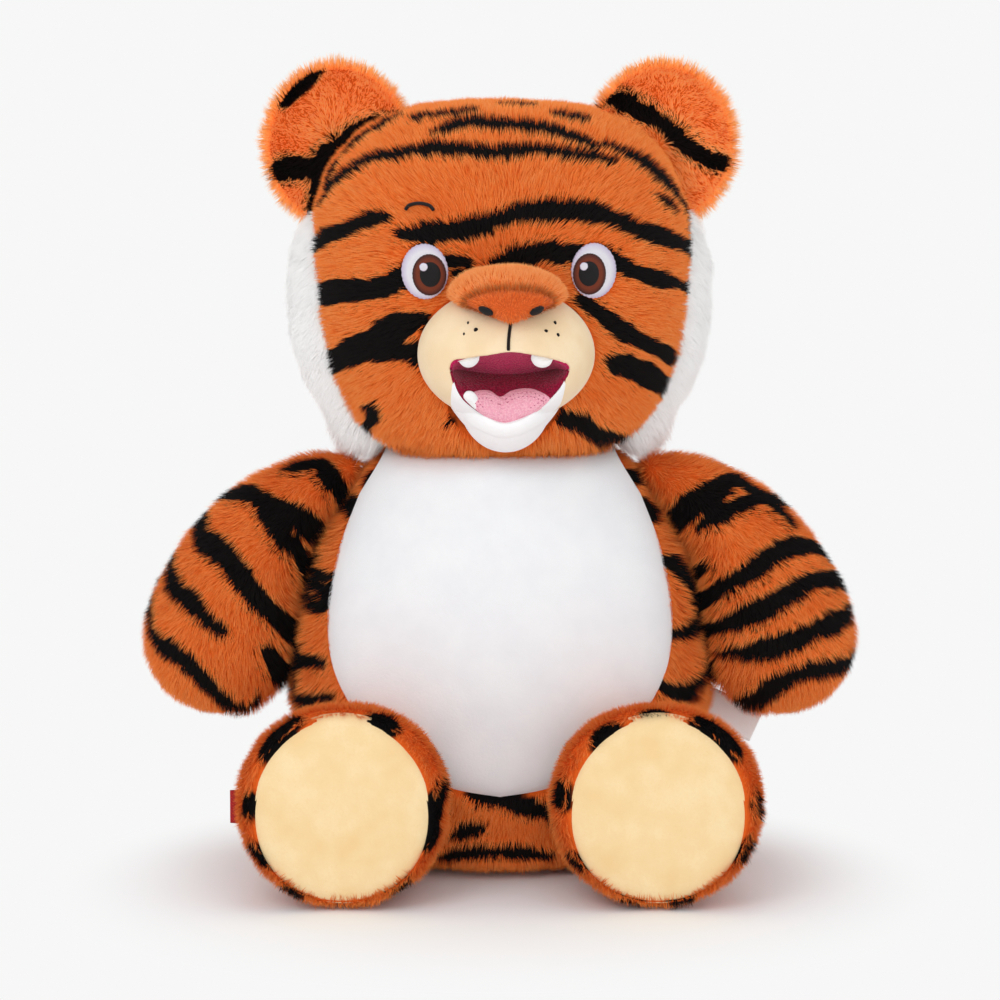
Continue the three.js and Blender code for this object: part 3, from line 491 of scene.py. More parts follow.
def fur_material(name, root, tip, pale, dark_root=(8, 6, 6), dark_tip=(22, 17, 17), sheen=0.0, painted_glow=0.0):
    """Pile: darker at its foot and lighter at its tips, strand by strand, partly its own colour and partly painted
    shade deep in the pile; and black in the stripes.
    """
    root, tip, pale, dark_root, dark_tip = map(srgb, (root, tip, pale, dark_root, dark_tip))
    material, tree, shader = nodes_of(name)
    along = attribute(tree, "along")
    light = mix(tree, along, root, tip)
    light = mix(tree, maths(tree, attribute(tree, "tone"), along), light, pale)
    light = mix(tree, spread(tree, noise(tree, 35.0), 0.4, 0.75, 0.3), light, root)
    # Painted shade: the pile is painted darker towards its root colour where a piece marks shade on it.
    light = mix(tree, attribute(tree, "painted_shade"), light, darker(root, 0.3))
    colour = mix(tree, attribute(tree, "stripe"), light, mix(tree, along, dark_root, dark_tip))
    # Painted light: the pile glows in its own colour by the glow strength, lifting the shade among its strands.
    look(tree, shader, colour, 0.8, 0.14, sheen_weight=sheen, emission_color=colour, emission_strength=painted_glow)
    # Each strand is lit partly as the form under it is, which makes the pile look soft.
    form = node(tree, "ShaderNodeVectorTransform", {0: attribute(tree, "form", "Vector")}, vector_type="NORMAL",
                convert_from="OBJECT", convert_to="WORLD").outputs[0]
    own = node(tree, "ShaderNodeNewGeometry").outputs["Normal"]
    lit = node(tree, "ShaderNodeMix", {0: 0.45, 4: own, 5: form}, data_type="VECTOR").outputs[1]
    way = node(tree, "ShaderNodeVectorMath", {0: lit}, operation="NORMALIZE").outputs[0]
    tree.links.new(way, shader.inputs["Normal"])
    return material


def skin_material(name, colour, dark):
    """The cloth that the pile grows from, seen deep between the strands."""
    material, tree, shader = nodes_of(name)
    grain = noise(tree, 900.0, 4.0)
    base = mix(tree, grain, srgb(colour), darker(srgb(colour), 0.75))
    look(tree, shader, mix(tree, attribute(tree, "stripe"), base, srgb(dark)), 0.95, 0.1)
    bump(tree, shader, grain, 0.6, 0.001)
    return material


def velour_material(name, colour, shade, scale=700.0, fine=0.5, sheen=0.25):
    """Short dense pile: a fine nap with soft patches where it has been brushed."""
    material, tree, shader = nodes_of(name)
    nap = noise(tree, scale, 4.0, 0.7)
    base = mix(tree, spread(tree, noise(tree, 45.0, 2.0), 0.35, 0.7), srgb(colour), srgb(shade))
    base = mix(tree, spread(tree, nap, 0.45, 0.75, fine), base, srgb(shade))
    look(tree, shader, base, 0.9, 0.15, sheen_weight=sheen, sheen_roughness=0.4)
    bump(tree, shader, nap, 0.35, 0.0006)
    return material


def thread_material(name, colour, shade, rim=None):
    """Satin stitches side by side, a thread's width apart. A rim is another colour towards the patch's edge."""
    material, tree, shader = nodes_of(name)
    settings = {"Vector": here(tree), "Scale": 650.0, "Distortion": 1.5, "Detail": 2.0, "Detail Scale": 0.2}
    rows = node(tree, "ShaderNodeTexWave", settings, bands_direction="Z").outputs["Fac"]
    base = mix(tree, rows, srgb(shade), srgb(colour))
    base = mix(tree, spread(tree, noise(tree, 700.0), 0.5, 0.8, 0.5), base, srgb(shade))
    if rim:
        base = mix(tree, spread(tree, attribute(tree, "edge"), 0.74, 0.96), base, srgb(rim))
    look(tree, shader, base, 0.5, 0.3)
    bump(tree, shader, rows, 0.6, 0.0005)
    return material


def terry_material(name, colour, shade):
    """Looped pile: close round loops with dark gaps between them."""
    material, tree, shader = nodes_of(name)
    loops = node(tree, "ShaderNodeTexVoronoi", {"Vector": here(tree), "Scale": 1100.0}).outputs["Distance"]
    base = mix(tree, spread(tree, loops, 0.1, 0.75), srgb(colour), srgb(shade))
    base = mix(tree, spread(tree, noise(tree, 260.0), 0.45, 0.75, 0.3), base, srgb(shade))
    look(tree, shader, base, 0.92, 0.12, sheen_weight=0.15)
    bump(tree, shader, loops, 0.7, -0.0008)
    return material


def weave_material(name, colour, shade):
    """A tight herringbone tape."""
    material, tree, shader = nodes_of(name)
    bands = [
        node(tree, "ShaderNodeTexWave", {"Vector": here(tree), "Scale": scale, "Distortion": bent}, bands_direction=way)
        for scale, bent, way in ((420.0, 0.6, "DIAGONAL"), (520.0, 0.4, "Z"))
    ]
    height = maths(tree, *(band.outputs["Fac"] for band in bands))
    look(tree, shader, mix(tree, height, srgb(shade), srgb(colour)), 0.8)
    bump(tree, shader, height, 0.5, 0.0004)
    return material


def coil_material(name):
    material, tree, shader = nodes_of(name)
    look(tree, shader, mix(tree, noise(tree, 300.0, 2.0), srgb((196, 84, 30)), srgb((226, 116, 56))), 0.35)
    return material


def metal_material(name):
    """Metal painted in the plush's orange, with the paint worn in places."""
    material, tree, shader = nodes_of(name)
    wear = noise(tree, 240.0, 4.0)
    colour = mix(tree, spread(tree, wear, 0.56, 0.7), srgb((198, 86, 32)), srgb((222, 124, 70)))
    look(tree, shader, colour, 0.34, coat_weight=0.3)
    bump(tree, shader, wear, 0.1, 0.0003)
    return material


ORANGE_FUR = fur_material("orange_fur", (238, 100, 28), (255, 140, 56), (255, 184, 112))
# Painted light: the white fur glows a little, lifting the shade among its strands.
WHITE_FUR = fur_material(
    "white_fur", (250, 249, 248), (255, 255, 254), (255, 255, 255), (20, 15, 15), (40, 33, 33), sheen=0.2, painted_glow=0.06
)
# Painted light: a lighter, glowing copy of the orange fur for the fronts and rims of the ears, standing in for light
# falling on them.
EAR_FUR_PAINTED_LIGHT = fur_material("ear_fur_painted_light", (255, 134, 52), (255, 178, 98), (255, 206, 146), painted_glow=0.2)
BRIDGE_FUR = fur_material("bridge_fur", (244, 122, 50), (255, 158, 84), (255, 192, 132), (10, 8, 8), (24, 19, 19))
NOSE_FUR = fur_material("nose_fur", (214, 84, 26), (255, 124, 46), (255, 166, 100), (10, 8, 8), (24, 19, 19))
ORANGE_SKIN = skin_material("orange_cloth", (236, 104, 36), (10, 8, 8))
WHITE_SKIN = skin_material("white_cloth", (252, 252, 252), (20, 15, 15))
BELLY_VELOUR = velour_material("belly_velour", (238, 240, 242), (233, 235, 238), fine=0.3, sheen=0.1)
CREAM_VELOUR = velour_material("cream_velour", (244, 219, 172), (238, 205, 150))
MUZZLE_VELOUR = velour_material("muzzle_velour", (245, 222, 186), (238, 210, 168), fine=0.3)
JAW_VELOUR = velour_material("jaw_velour", (251, 251, 252), (246, 246, 247), fine=0.3)
NOSE_VELOUR = velour_material("nose_velour", (214, 96, 40), (168, 66, 24), 800.0)
FILLING = velour_material("filling_fibre", (244, 241, 234), (228, 224, 216), 300.0)
FELT = velour_material("tooth_felt", (250, 250, 250), (236, 235, 236), 900.0)
BLACK_THREAD = thread_material("black_thread", (22, 19, 22), (6, 5, 7))
WHITE_THREAD = thread_material("white_thread", (248, 247, 250), (228, 224, 236), rim=(214, 204, 228))
BROWN_THREAD = thread_material("brown_thread", (142, 62, 28), (92, 36, 20), rim=(60, 24, 20))
ROSE_THREAD = thread_material("rose_thread", (214, 110, 140), (170, 70, 104))
MAROON = terry_material("mouth_terry", (166, 14, 62), (116, 6, 40))
RASPBERRY = terry_material("palate_terry", (212, 34, 98), (172, 20, 74))
PINK = terry_material("tongue_terry", (254, 196, 208), (240, 164, 184))
ZIP_TAPE = weave_material("zip_tape", (206, 92, 34), (160, 64, 22))
LABEL = weave_material("label_cloth", (255, 255, 255), (250, 250, 250))
RED = weave_material("red_ribbon", (212, 26, 34), (150, 12, 18))
ZIP_COIL = coil_material("zip_coil")
METAL = metal_material("painted_metal")


# ---- fur ----
SPIKE = np.array([[0, 2, 1], [0, 1, 3], [1, 2, 3], [2, 0, 3]])
SPIKE_FOOT = [(-0.5, 0), (0.5, 0), (0, -0.28)]  # its three lower corners, in strand widths


def roots_on(form, density, keep, chance):
    """Random places on a form's faces, with the normals there: so many to a square millimetre where keep allows."""
    points, faces = form
    normals = corner_normals(points, faces)
    a, b, c = (points[faces[:, k]] for k in range(3))
    area = np.linalg.norm(np.cross(b - a, c - a), axis=1) / 2
    count = int(area.sum() * density)
    chosen = chance.choice(len(faces), count, p=area / area.sum())
    first, second = chance.random((2, count, 1))
    root = np.sqrt(first)
    weights = (1 - root, root * (1 - second), root * second)
    places = sum(w * points[faces[chosen, k]] for k, w in enumerate(weights))
    facing = unit(sum(w * normals[faces[chosen, k]] for k, w in enumerate(weights)))
    kept = keep(places, facing)
    return places[kept], facing[kept]


def gathered(tips, places, seed):
    """The middle of each tip's tuft, in cells of a few millimetres that are warped."""
    warped = places / 3.2 + np.stack([waves(places, 7, seed + k) for k in (4, 5, 6)], 1) * 0.6
    cell = np.floor(warped).astype(np.int64) @ np.array([73856093, 19349663, 83492791])
    _, tuft = np.unique(cell, return_inverse=True)
    size = np.bincount(tuft)
    return np.stack([np.bincount(tuft, tips[:, k]) / size for k in range(3)], 1)[tuft]


def grow(name, form, material, nap, stripes, keep, seed, density=1.9, length=6.2, width=0.42, lean=0.95,
         clump=0.2, room=None, painted_shade=None, lift=None, **ride):
    """Pile that grows from a form: strands, each a closed spike, that lean along the nap in loose tufts.

    The nap gives the way in which it lies, room its share of the length, lift how far it stands up, and the painted
    shade how far it is painted darker where shade falls.
    """
    chance = np.random.default_rng(seed)
    places, facing = roots_on(form, density * DENSITY, keep, chance)
    count = len(places)
    flow = unit(across_flow(nap(places, facing), facing))
    side = np.cross(facing, flow)
    swirl = 0.3 * waves(places, 26, 7) + 0.22 * waves(places, 9, 8) + chance.normal(0, 0.2, count)
    flow = unit(flow * np.cos(swirl)[:, None] + side * np.sin(swirl)[:, None])
    tilt = lean + 0.14 * waves(places, 14, 9) + chance.normal(0, 0.12, count)
    reach = length * np.clip(1 + 0.1 * waves(places, 18, 10) + chance.normal(0, 0.12, count), 0.5, 1.3)
    if room is not None:
        reach = reach * room(places)
    risen = lift(places, facing) if lift else np.zeros(count)
    tilt = tilt * (1 - 0.45 * risen)
    reach = reach * (1 + 0.25 * risen)
    low, high = (
        unit(facing * np.cos(tilt * share)[:, None] + flow * np.sin(tilt * share)[:, None]) for share in (0.7, 1.3)
    )
    middle = places + low * (reach * 0.5)[:, None]
    tip = middle + high * (reach * 0.5)[:, None]
    tip = tip + (gathered(tip, places, seed) - tip) * clump
    tip[:, 2] = np.maximum(tip[:, 2], 0.15)  # nothing under the floor
    middle[:, 2] = np.maximum(middle[:, 2], 0.3)
    places = places - facing * 0.4
    thick = width * chance.uniform(0.75, 1.25, count)[:, None]
    turned = unit(np.cross(low, facing) + 0.22 * chance.normal(size=(count, 3)))
    turned = unit(across_flow(turned, low))
    deep = np.cross(low, turned)
    points = np.stack([places + turned * thick * x + deep * thick * y for x, y in SPIKE_FOOT] + [tip], 1)
    faces = (np.arange(count)[:, None, None] * 4 + SPIKE).reshape(-1, 3)
    mesh = mesh_of(name, points.reshape(-1, 3), faces, smooth=False)
    # A strand is black when what is seen of it lies over a stripe, at the height of the stripes' surface.
    seen = places + across_flow(middle * 0.5 + tip * 0.5 - places, facing) + facing * (3.4 - 2.7 * risen)[:, None]
    dark = (stripe_share(seen, stripes) + chance.normal(0, 0.1, count) > 0.5).astype(float)
    set_values(mesh, "along", np.tile([0, 0, 0, 1], count))
    set_values(mesh, "stripe", dark, 4)
    set_values(mesh, "tone", chance.beta(1.2, 2.2, count), 4)
    form_normals = mesh.attributes.new("form", "FLOAT_VECTOR", "POINT")
    form_normals.data.foreach_set("vector", np.repeat(facing, 4, 0).astype(np.float32).ravel())
    # Painted shade for each strand, in creases and hollows.
    if painted_shade is not None:
        set_values(mesh, "painted_shade", painted_shade(places), 4)
    return piece(name, mesh, material=material, **ride)


def stripe_share(places, stripes):
    """How far each place lies in the black of the stripes, from 0 outside to 1 inside."""
    if not len(stripes) or not len(places):
        return np.zeros(len(places))
    starts = np.vstack([line[:-1] for line, _ in stripes])
    ends = np.vstack([line[1:] for line, _ in stripes])
    start_wide = np.concatenate([wide[:-1] for _, wide in stripes])
    end_wide = np.concatenate([wide[1:] for _, wide in stripes])
    span = ends - starts
    length = np.maximum((span**2).sum(1), 1e-9)
    best = np.full(len(places), FAR)
    for block in range(0, len(places), 4000):
        some = places[block : block + 4000]
        share = np.clip(((some[:, None] - starts) * span).sum(-1) / length, 0, 1)
        near = starts + share[..., None] * span
        gap = np.linalg.norm(some[:, None] - near, axis=-1) - (start_wide + share * (end_wide - start_wide))
        best[block : block + 4000] = gap.min(1)
    best = best + 0.5 * waves(places, 7, 91) + 0.3 * waves(places, 3, 92)
    return np.clip(0.5 - best / 1.6, 0, 1)


def skin(name, form, stripes=(), material=ORANGE_SKIN, **ride):
    """The cloth of a piece. Its stripes are wider by the pile that leans over them."""
    mesh = mesh_of(name, *form)
    set_values(mesh, "stripe", stripe_share(form[0], [(line, half + 3.2) for line, half in stripes]))
    return piece(name, mesh, material=material, **ride)


# ---- stripes: each is a line of points and its half widths ----
STRIDE = 6


def onward(tree, start, previous, run):
    """Points that carry a line on over a form past its end."""
    found, there, way = [], start, unit(start - previous)
    for _ in range(int(run / STRIDE)):
        following, normal, _, _ = tree.find_nearest(Vector(there + way * STRIDE))
        following, normal = np.array(following), np.array(normal)
        way = unit(following - there)
        way = unit(way - normal * (way @ normal))
        there = following
        found.append(there)
    return found


def finished(tree, points, width, before, after, taper):
    """A stripe along points of a form: its width in pixels, how far it runs on, and how wide its ends stay."""
    points = onward(tree, points[0], points[1], before)[::-1] + points + onward(tree, points[-1], points[-2], after)
    line = smooth_rows(points, (len(points) - 1) * 3)
    at = np.linspace(0, 1, len(line))
    ends = np.minimum(1, (np.minimum(at, 1 - at) + 0.02) * 5)
    wobble = 1 + 0.12 * np.sin(at * 17 + points[0][0]) + 0.08 * np.sin(at * 41 + points[0][2])
    return np.array(line), width / 2 * PIXEL * wobble * (taper + (1 - taper) * ends)


def traced(tree, depth, line, width, before=0, after=0, taper=0.5):
    """A stripe through pixels of the picture, laid on a form, or beside it at a depth where it is missed."""
    points = []
    for x, y in line:
        way = sight(x, y)
        hit = tree.ray_cast(Vector(EYE), Vector(way))[0]
        if hit is None:
            hit = tree.find_nearest(Vector(EYE + way * (depth - EYE[1]) / way[1]))[0]
        points.append(np.array(hit))
    return finished(tree, points, width, before, after, taper)


def all_traced(tree, depth, lines, wider=1.0):
    return [traced(tree, depth, line, width * wider, before, after) for line, width, before, after in lines]


def cast(tree, rays):
    """Where rays, each an origin and a way, meet a form, without those that miss it."""
    hits = [tree.ray_cast(Vector(origin), Vector(way))[0] for origin, way in rays]
    return [np.array(hit) for hit in hits if hit is not None]


def back_stripes(tree, rows, width, seed, from_angle, to_angle=168):
    """Stripes on the side and back, in pairs that run in from the two flanks and taper towards the middle."""
    chance = np.random.default_rng(seed)
    found = []
    for z in rows:
        for side in (-1, 1):
            start = from_angle + chance.uniform(-6, 10)
            stop = to_angle - chance.uniform(0, 34)
            drop = chance.uniform(-14, 4)
            level = z + chance.uniform(-5, 5)
            rays = []
            for share in np.linspace(0, 1, 6):
                angle = math.radians(start + (stop - start) * share) * side
                height = level + drop * share + 2.5 * math.sin(share * 5 + z)
                rays.append(((0, 0, height), (math.sin(angle), -math.cos(angle), 0)))
            points = cast(tree, rays)
            if len(points) > 2:
                found.append(finished(tree, points, width * chance.uniform(0.75, 1.2), 0, 0, 0.25))
    return found


def arm_back(side, tree):
    """Stripes on the back of an arm, by turns from its outer and its inner edge."""
    rows = smooth_rows(ARM_LINE, 100)
    found = []
    for index, at in enumerate((30, 40, 50, 59, 68, 77)):
        along = unit(rows[at + 2, :2] - rows[at - 2, :2])
        shares = np.linspace(0.9, -0.35, 6) if index % 2 else np.linspace(-0.9, 0.3, 6)
        spots = [rows[at, :2] + np.array([-along[1], along[0]]) * rows[at, 2] * s + [0, 3 * s] for s in shares]
        points = cast(tree, [((side * x, 200, z), (0, -1, 0)) for x, z in spots])
        if len(points) > 2:
            found.append(finished(tree, points, 19, 12, 0, 0.3))
    return found


# ---- seams and regions ----
def belly_outline(count=120):
    shares = [
        [0, 0], [0.29, 0.028], [0.45, 0.09], [0.72, 0.18], [0.93, 0.34], [0.98, 0.52], [0.92, 0.7], [0.8, 0.87]
    ]
    half = [[width * 88, 41 + rise * 165] for width, rise in smooth_rows(shares, count)] + [[57, 206], [51, 215]]
    return np.array(half + [[-x, z] for x, z in half[::-1]])


def inside(outline, x, z):
    """Which points lie inside an outline of x and z."""
    result = np.zeros(len(x), bool)
    following = np.roll(outline, -1, axis=0)
    for (x0, z0), (x1, z1) in zip(outline, following):
        crosses = (z0 > z) != (z1 > z)
        if z0 != z1:
            result ^= crosses & (x < (x1 - x0) * (z - z0) / (z1 - z0) + x0)
    return result


def front_of(size, margin, x, z):
    """The y of a swelling form's front at each x and z."""
    table = smooth_rows(size["rows"], 400)
    base, height, half, front, _ = grown_size(size, margin)
    rise = (np.asarray(z) - base) / height
    wide = np.interp(rise, table[:, 0], table[:, 1]) * half
    deep = np.interp(rise, table[:, 0], table[:, 2]) * front
    share = np.clip(1 - np.abs(np.asarray(x) / np.maximum(wide, 1e-6)) ** size["squareness"], 0, 1)
    return -deep * share ** (1 / size["squareness"])


def patch(outline, surface, rings, thickness):
    """A closed pad over a surface. surface(x, z, inset) gives the y at a distance inside the outline."""
    centre = (outline.min(0) + outline.max(0)) / 2
    shares = np.sin(np.linspace(0, 1, rings + 1)[1:] * math.pi / 2)
    grid = centre + (outline[None] - centre) * shares[:, None, None]
    inset = (1 - shares)[:, None] * np.linalg.norm(outline - centre, axis=1)[None]
    y = surface(grid[..., 0], grid[..., 1], inset)
    front = np.stack([grid[..., 0], y, grid[..., 1]], -1)
    back = front + [0, thickness, 0]
    middle = surface(np.array([centre[0]]), np.array([centre[1]]), np.array([50.0]))
    first = np.tile([centre[0], middle[0], centre[1]], (1, len(outline), 1))
    return closed(np.concatenate([first, front, back[::-1], first + [0, thickness, 0]]))


def seam_angles(size, seam, steps):
    """The angle at which each ring of a form's cloth reaches the y of its side seam."""
    deep = np.maximum(smooth_rows(size["rows"], steps)[:, 3] * (size["back"] + ROOT), 1e-6)
    return np.arcsin(np.clip(seam / deep, 0, 0.95) ** (size["squareness"] / 2))


def panel(size, start, stop, shape=np.asarray, steps=120, columns=140, thickness=2.0):
    """A closed cloth cover of a swelling form between two angles of each ring."""
    angles = start[:, None] + (stop - start)[:, None] * np.linspace(0, 1, columns)
    return slab(*(shape(rounds(size, ROOT - depth, angles, steps)[1:-1]) for depth in (0, thickness)))


def within(size, margin, points, centre=0.0):
    """Which points lie inside a swelling form."""
    table = smooth_rows(size["rows"], 300)
    base, height, half, front, back = grown_size(size, margin)
    rise = (points[:, 2] - base) / height

    def at(column):
        return np.interp(rise, table[:, 0], table[:, column])

    lean = at(4) if table.shape[1] > 4 else 0
    deep = np.where(points[:, 1] < 0, at(2) * front, at(3) * back)
    x = points[:, 0] - centre + lean * size.get("shift", 0)
    reach = np.abs(x / np.maximum(at(1) * half, 1e-6)) ** size["squareness"]
    reach = reach + np.abs(points[:, 1] / np.maximum(deep, 1e-6)) ** size["squareness"]
    return (reach < 1) & (rise > 0) & (rise < 1)


def in_torso(points, margin):
    return within(TORSO, margin, points) & (points[:, 2] < NECK)


def in_skull(points, margin):
    """Which points lie inside the head's own round form."""
    return within(HEAD, margin, in_head(points)) & (points[:, 2] > NECK)


def in_ruff(points, margin):
    local = in_head(points)
    local[:, 0] = np.abs(local[:, 0])
    return within(RUFF, margin, local, RUFF["x"]) & (points[:, 2] > NECK)


def in_ball(points, centre, half, margin):
    """Which points of the head's own frame lie inside an ellipsoid."""
    return (((points - np.array(centre)) / (np.array(half) + margin)) ** 2).sum(-1) < 1


def inside_tree(tree, points):
    """Which points lie inside a closed form."""
    found = np.zeros(len(points), bool)
    for index, point in enumerate(points):
        spot, normal, _, _ = tree.find_nearest(point, 40)
        if spot is not None:
            found[index] = (Vector(point) - spot).dot(normal) < 0
    return found


# ---- floor and light ----
FLOOR_SIZE = 6.0  # in metres
FADE = (0.125, 0.22)  # between these distances from the toy's middle, the floor turns into the backdrop
BACKDROP = {"Color": (1, 1, 1, 1), "Strength": 0.93}


def make_floor():
    material, tree, shader = nodes_of("floor")
    look(tree, shader, (0.94, 0.94, 0.945, 1), 1.0, 0.0)
    place = node(tree, "ShaderNodeNewGeometry").outputs["Position"]
    gap = node(tree, "ShaderNodeVectorMath", {0: place, 1: (0, -0.09, 0)}, operation="DISTANCE").outputs["Value"]
    fade = node(tree, "ShaderNodeMapRange", {0: gap, 1: FADE[0], 2: FADE[1]}, interpolation_type="SMOOTHSTEP")
    share = maths(tree, fade.outputs[0], node(tree, "ShaderNodeLightPath").outputs["Is Camera Ray"])
    pale = node(tree, "ShaderNodeEmission", BACKDROP)
    blend = node(tree, "ShaderNodeMixShader", {0: share, 1: shader.outputs[0], 2: pale.outputs[0]})
    tree.links.new(blend.outputs[0], tree.nodes["Material Output"].inputs["Surface"])
    points = np.array([[-1, -1, 0], [1, -1, 0], [1, 1, 0], [-1, 1, 0]]) * FLOOR_SIZE / 2 / MM
    mesh = mesh_of("floor", points, np.array([[0, 1, 2], [0, 2, 3]]))
    mesh.materials.append(material)
    added("floor", mesh)


def make_world():
    """A white room that lights the toy, and a plain backdrop for what the camera sees of it."""
    world = bpy.data.worlds.new("studio")
    bpy.context.scene.world = world
    world.use_nodes = True
    tree = world.node_tree
    room = tree.nodes["Background"]
    fed(tree, room.inputs, {"Color": (1, 1, 1, 1), "Strength": 0.8})
    backdrop = node(tree, "ShaderNodeBackground", BACKDROP)
    path = node(tree, "ShaderNodeLightPath").outputs
    either = maths(tree, path["Is Camera Ray"], path["Is Glossy Ray"], "MAXIMUM")
    either = maths(tree, either, path["Is Transmission Ray"], "MAXIMUM")
    blend = node(tree, "ShaderNodeMixShader", {0: either, 1: room.outputs[0], 2: backdrop.outputs[0]})
    tree.links.new(blend.outputs[0], tree.nodes["World Output"].inputs["Surface"])


def lamp(name, place, size, power):
    data = bpy.data.lights.new(name, "AREA")
    data.shape, data.size, data.energy = "DISK", size, power
    made = added(name, data)
    made.location = place
    made.rotation_euler = turned_to(Vector((0, 0, 0.18)) - Vector(place))


bpy.context.scene.view_settings.view_transform = "Standard"
make_floor()
make_world()
lamp("key", (-0.7, -1.4, 1.2), 1.0, 5)
lamp("fill", (0.3, -2.0, 0.4), 1.4, 7)
lamp("top", (0, 0.3, 1.9), 1.2, 2.5)


# ---- cutting ----
def carved(form, cutters, voxel=0.9, soften=9):
    """A form with others cut out of it, and remeshed, unless voxel is 0, so that the edges come out soft."""
    made, *tools = (added("temporary", mesh_of("temporary", *each)) for each in (form, *cutters))
    for tool in tools:
        cut = made.modifiers.new("cut", "BOOLEAN")
        cut.operation, cut.solver, cut.object = "DIFFERENCE", "EXACT", tool
    if voxel:
        remesh = made.modifiers.new("remesh", "REMESH")
        remesh.mode, remesh.voxel_size = "VOXEL", voxel * MM
        smooth = made.modifiers.new("smooth", "SMOOTH")
        smooth.factor, smooth.iterations = 0.5, soften
    evaluated = made.evaluated_get(bpy.context.evaluated_depsgraph_get())
    mesh = evaluated.to_mesh()
    mesh.calc_loop_triangles()
    points = np.empty(len(mesh.vertices) * 3, np.float32)
    mesh.vertices.foreach_get("co", points)
    faces = np.empty(len(mesh.loop_triangles) * 3, np.int32)
    mesh.loop_triangles.foreach_get("vertices", faces)
    evaluated.to_mesh_clear()
    for used in (made, *tools):
        data = used.data
        bpy.data.objects.remove(used)
        bpy.data.meshes.remove(data)
    return points.reshape(-1, 3) / MM, faces.reshape(-1, 3)


# ---- the forms that the pile grows from, and the surfaces that stripes are laid on ----
def flank(places, facing=None):
    """Where the arms lie against the body."""
    x, y, z = places.T
    share = np.clip((np.abs(x) - 74) / 12, 0, 1) * np.clip((z - 62) / 15, 0, 1)
    return share * np.clip((46 - np.abs(y)) / 10, 0, 1)


def arm_inside(places, facing):
    return np.clip(-facing[:, 0] * np.sign(places[:, 0]) * 1.6 - 0.2, 0, 1)


FLANK_OUT = 2.6
TORSO_ROOT = filled_out(torso_form(ROOT), flank, FLANK_OUT)
HEAD_ROOT = head_form(ROOT)
ARM_ROOT = {name: filled_out(arm_form(side, ROOT), arm_inside, 2.8) for name, side in SIDES.items()}
LEG_ROOT = {name: leg_form(side, ROOT) for name, side in SIDES.items()}
RUFF_ROOT = {name: ruff_form(side, ROOT) for name, side in SIDES.items()}
TAIL_ROOT = tail_form(ROOT)
TORSO_SHELL = tree_of(torso_form(SHELL))
HEAD_SHELL = tree_of(head_form(SHELL))
ARM_SHELL = {name: tree_of(arm_form(side, SHELL)) for name, side in SIDES.items()}
LEG_SHELL = {name: tree_of(leg_form(side, SHELL)) for name, side in SIDES.items()}
TAIL_SHELL = tree_of(tail_form(SHELL))

# ---- the stripes that the picture shows: points in its pixels, width, and how far each end runs on ----
HEAD_LINES = [
    ([(500, 99), (517, 98), (534, 99)], 12, 0, 0),
    ([(411, 115), (440, 111), (478, 107)], 12, 0, 0),
    ([(554, 110), (570, 112), (587, 116)], 12, 0, 0),
    ([(433, 129), (467, 119), (500, 121), (534, 123), (568, 131), (598, 143)], 14, 0, 0),
    ([(398, 113), (374, 125), (352, 140), (334, 161), (322, 190)], 15, 0, 0),
    ([(347, 167), (365, 157), (399, 150), (433, 145), (467, 147), (500, 149), (534, 146), (568, 150), (602, 155),
      (615, 158)], 12, 30, 0),
    ([(608, 141), (632, 152), (656, 167), (674, 185), (685, 202), (697, 224)], 15, 0, 20),
    ([(659, 194), (680, 209)], 8, 0, 0),
    ([(316, 241), (342, 229), (365, 219), (384, 216)], 13, 18, 0),
    ([(396, 233), (419, 231), (450, 229), (483, 223), (517, 211), (551, 208), (585, 209), (609, 214), (629, 223),
      (659, 234), (695, 253)], 15, 0, 16),
    ([(311, 300), (331, 292), (365, 290), (385, 285), (404, 273)], 16, 16, 0),
    ([(326, 364), (348, 354), (365, 344), (389, 331), (419, 321)], 19, 10, 0),
    ([(348, 358), (365, 354), (392, 353), (419, 353)], 13, 0, 0),
    ([(392, 353), (408, 358), (419, 368)], 10, 0, 0),
    ([(602, 250), (622, 263), (653, 277), (696, 290)], 13, 0, 12),
    ([(580, 300), (602, 314), (629, 334), (656, 348), (675, 359)], 12, 0, 10),
    ([(612, 363), (636, 370), (656, 380), (671, 392)], 17, 0, 0),
    ([(362, 412), (372, 415), (367, 432)], 12, 0, 0),
    ([(446, 429), (463, 419)], 9, 0, 0),
    ([(554, 422), (578, 425), (602, 439), (636, 449)], 15, 0, 0),
]
BRIDGE_LINES = [
    ([(446, 261), (456, 261), (467, 263)], 9, 0, 0),
    ([(451, 273), (458, 272), (466, 273)], 6, 0, 0),
    ([(494, 260), (517, 256), (544, 250), (568, 253), (582, 250)], 14, 0, 0),
]
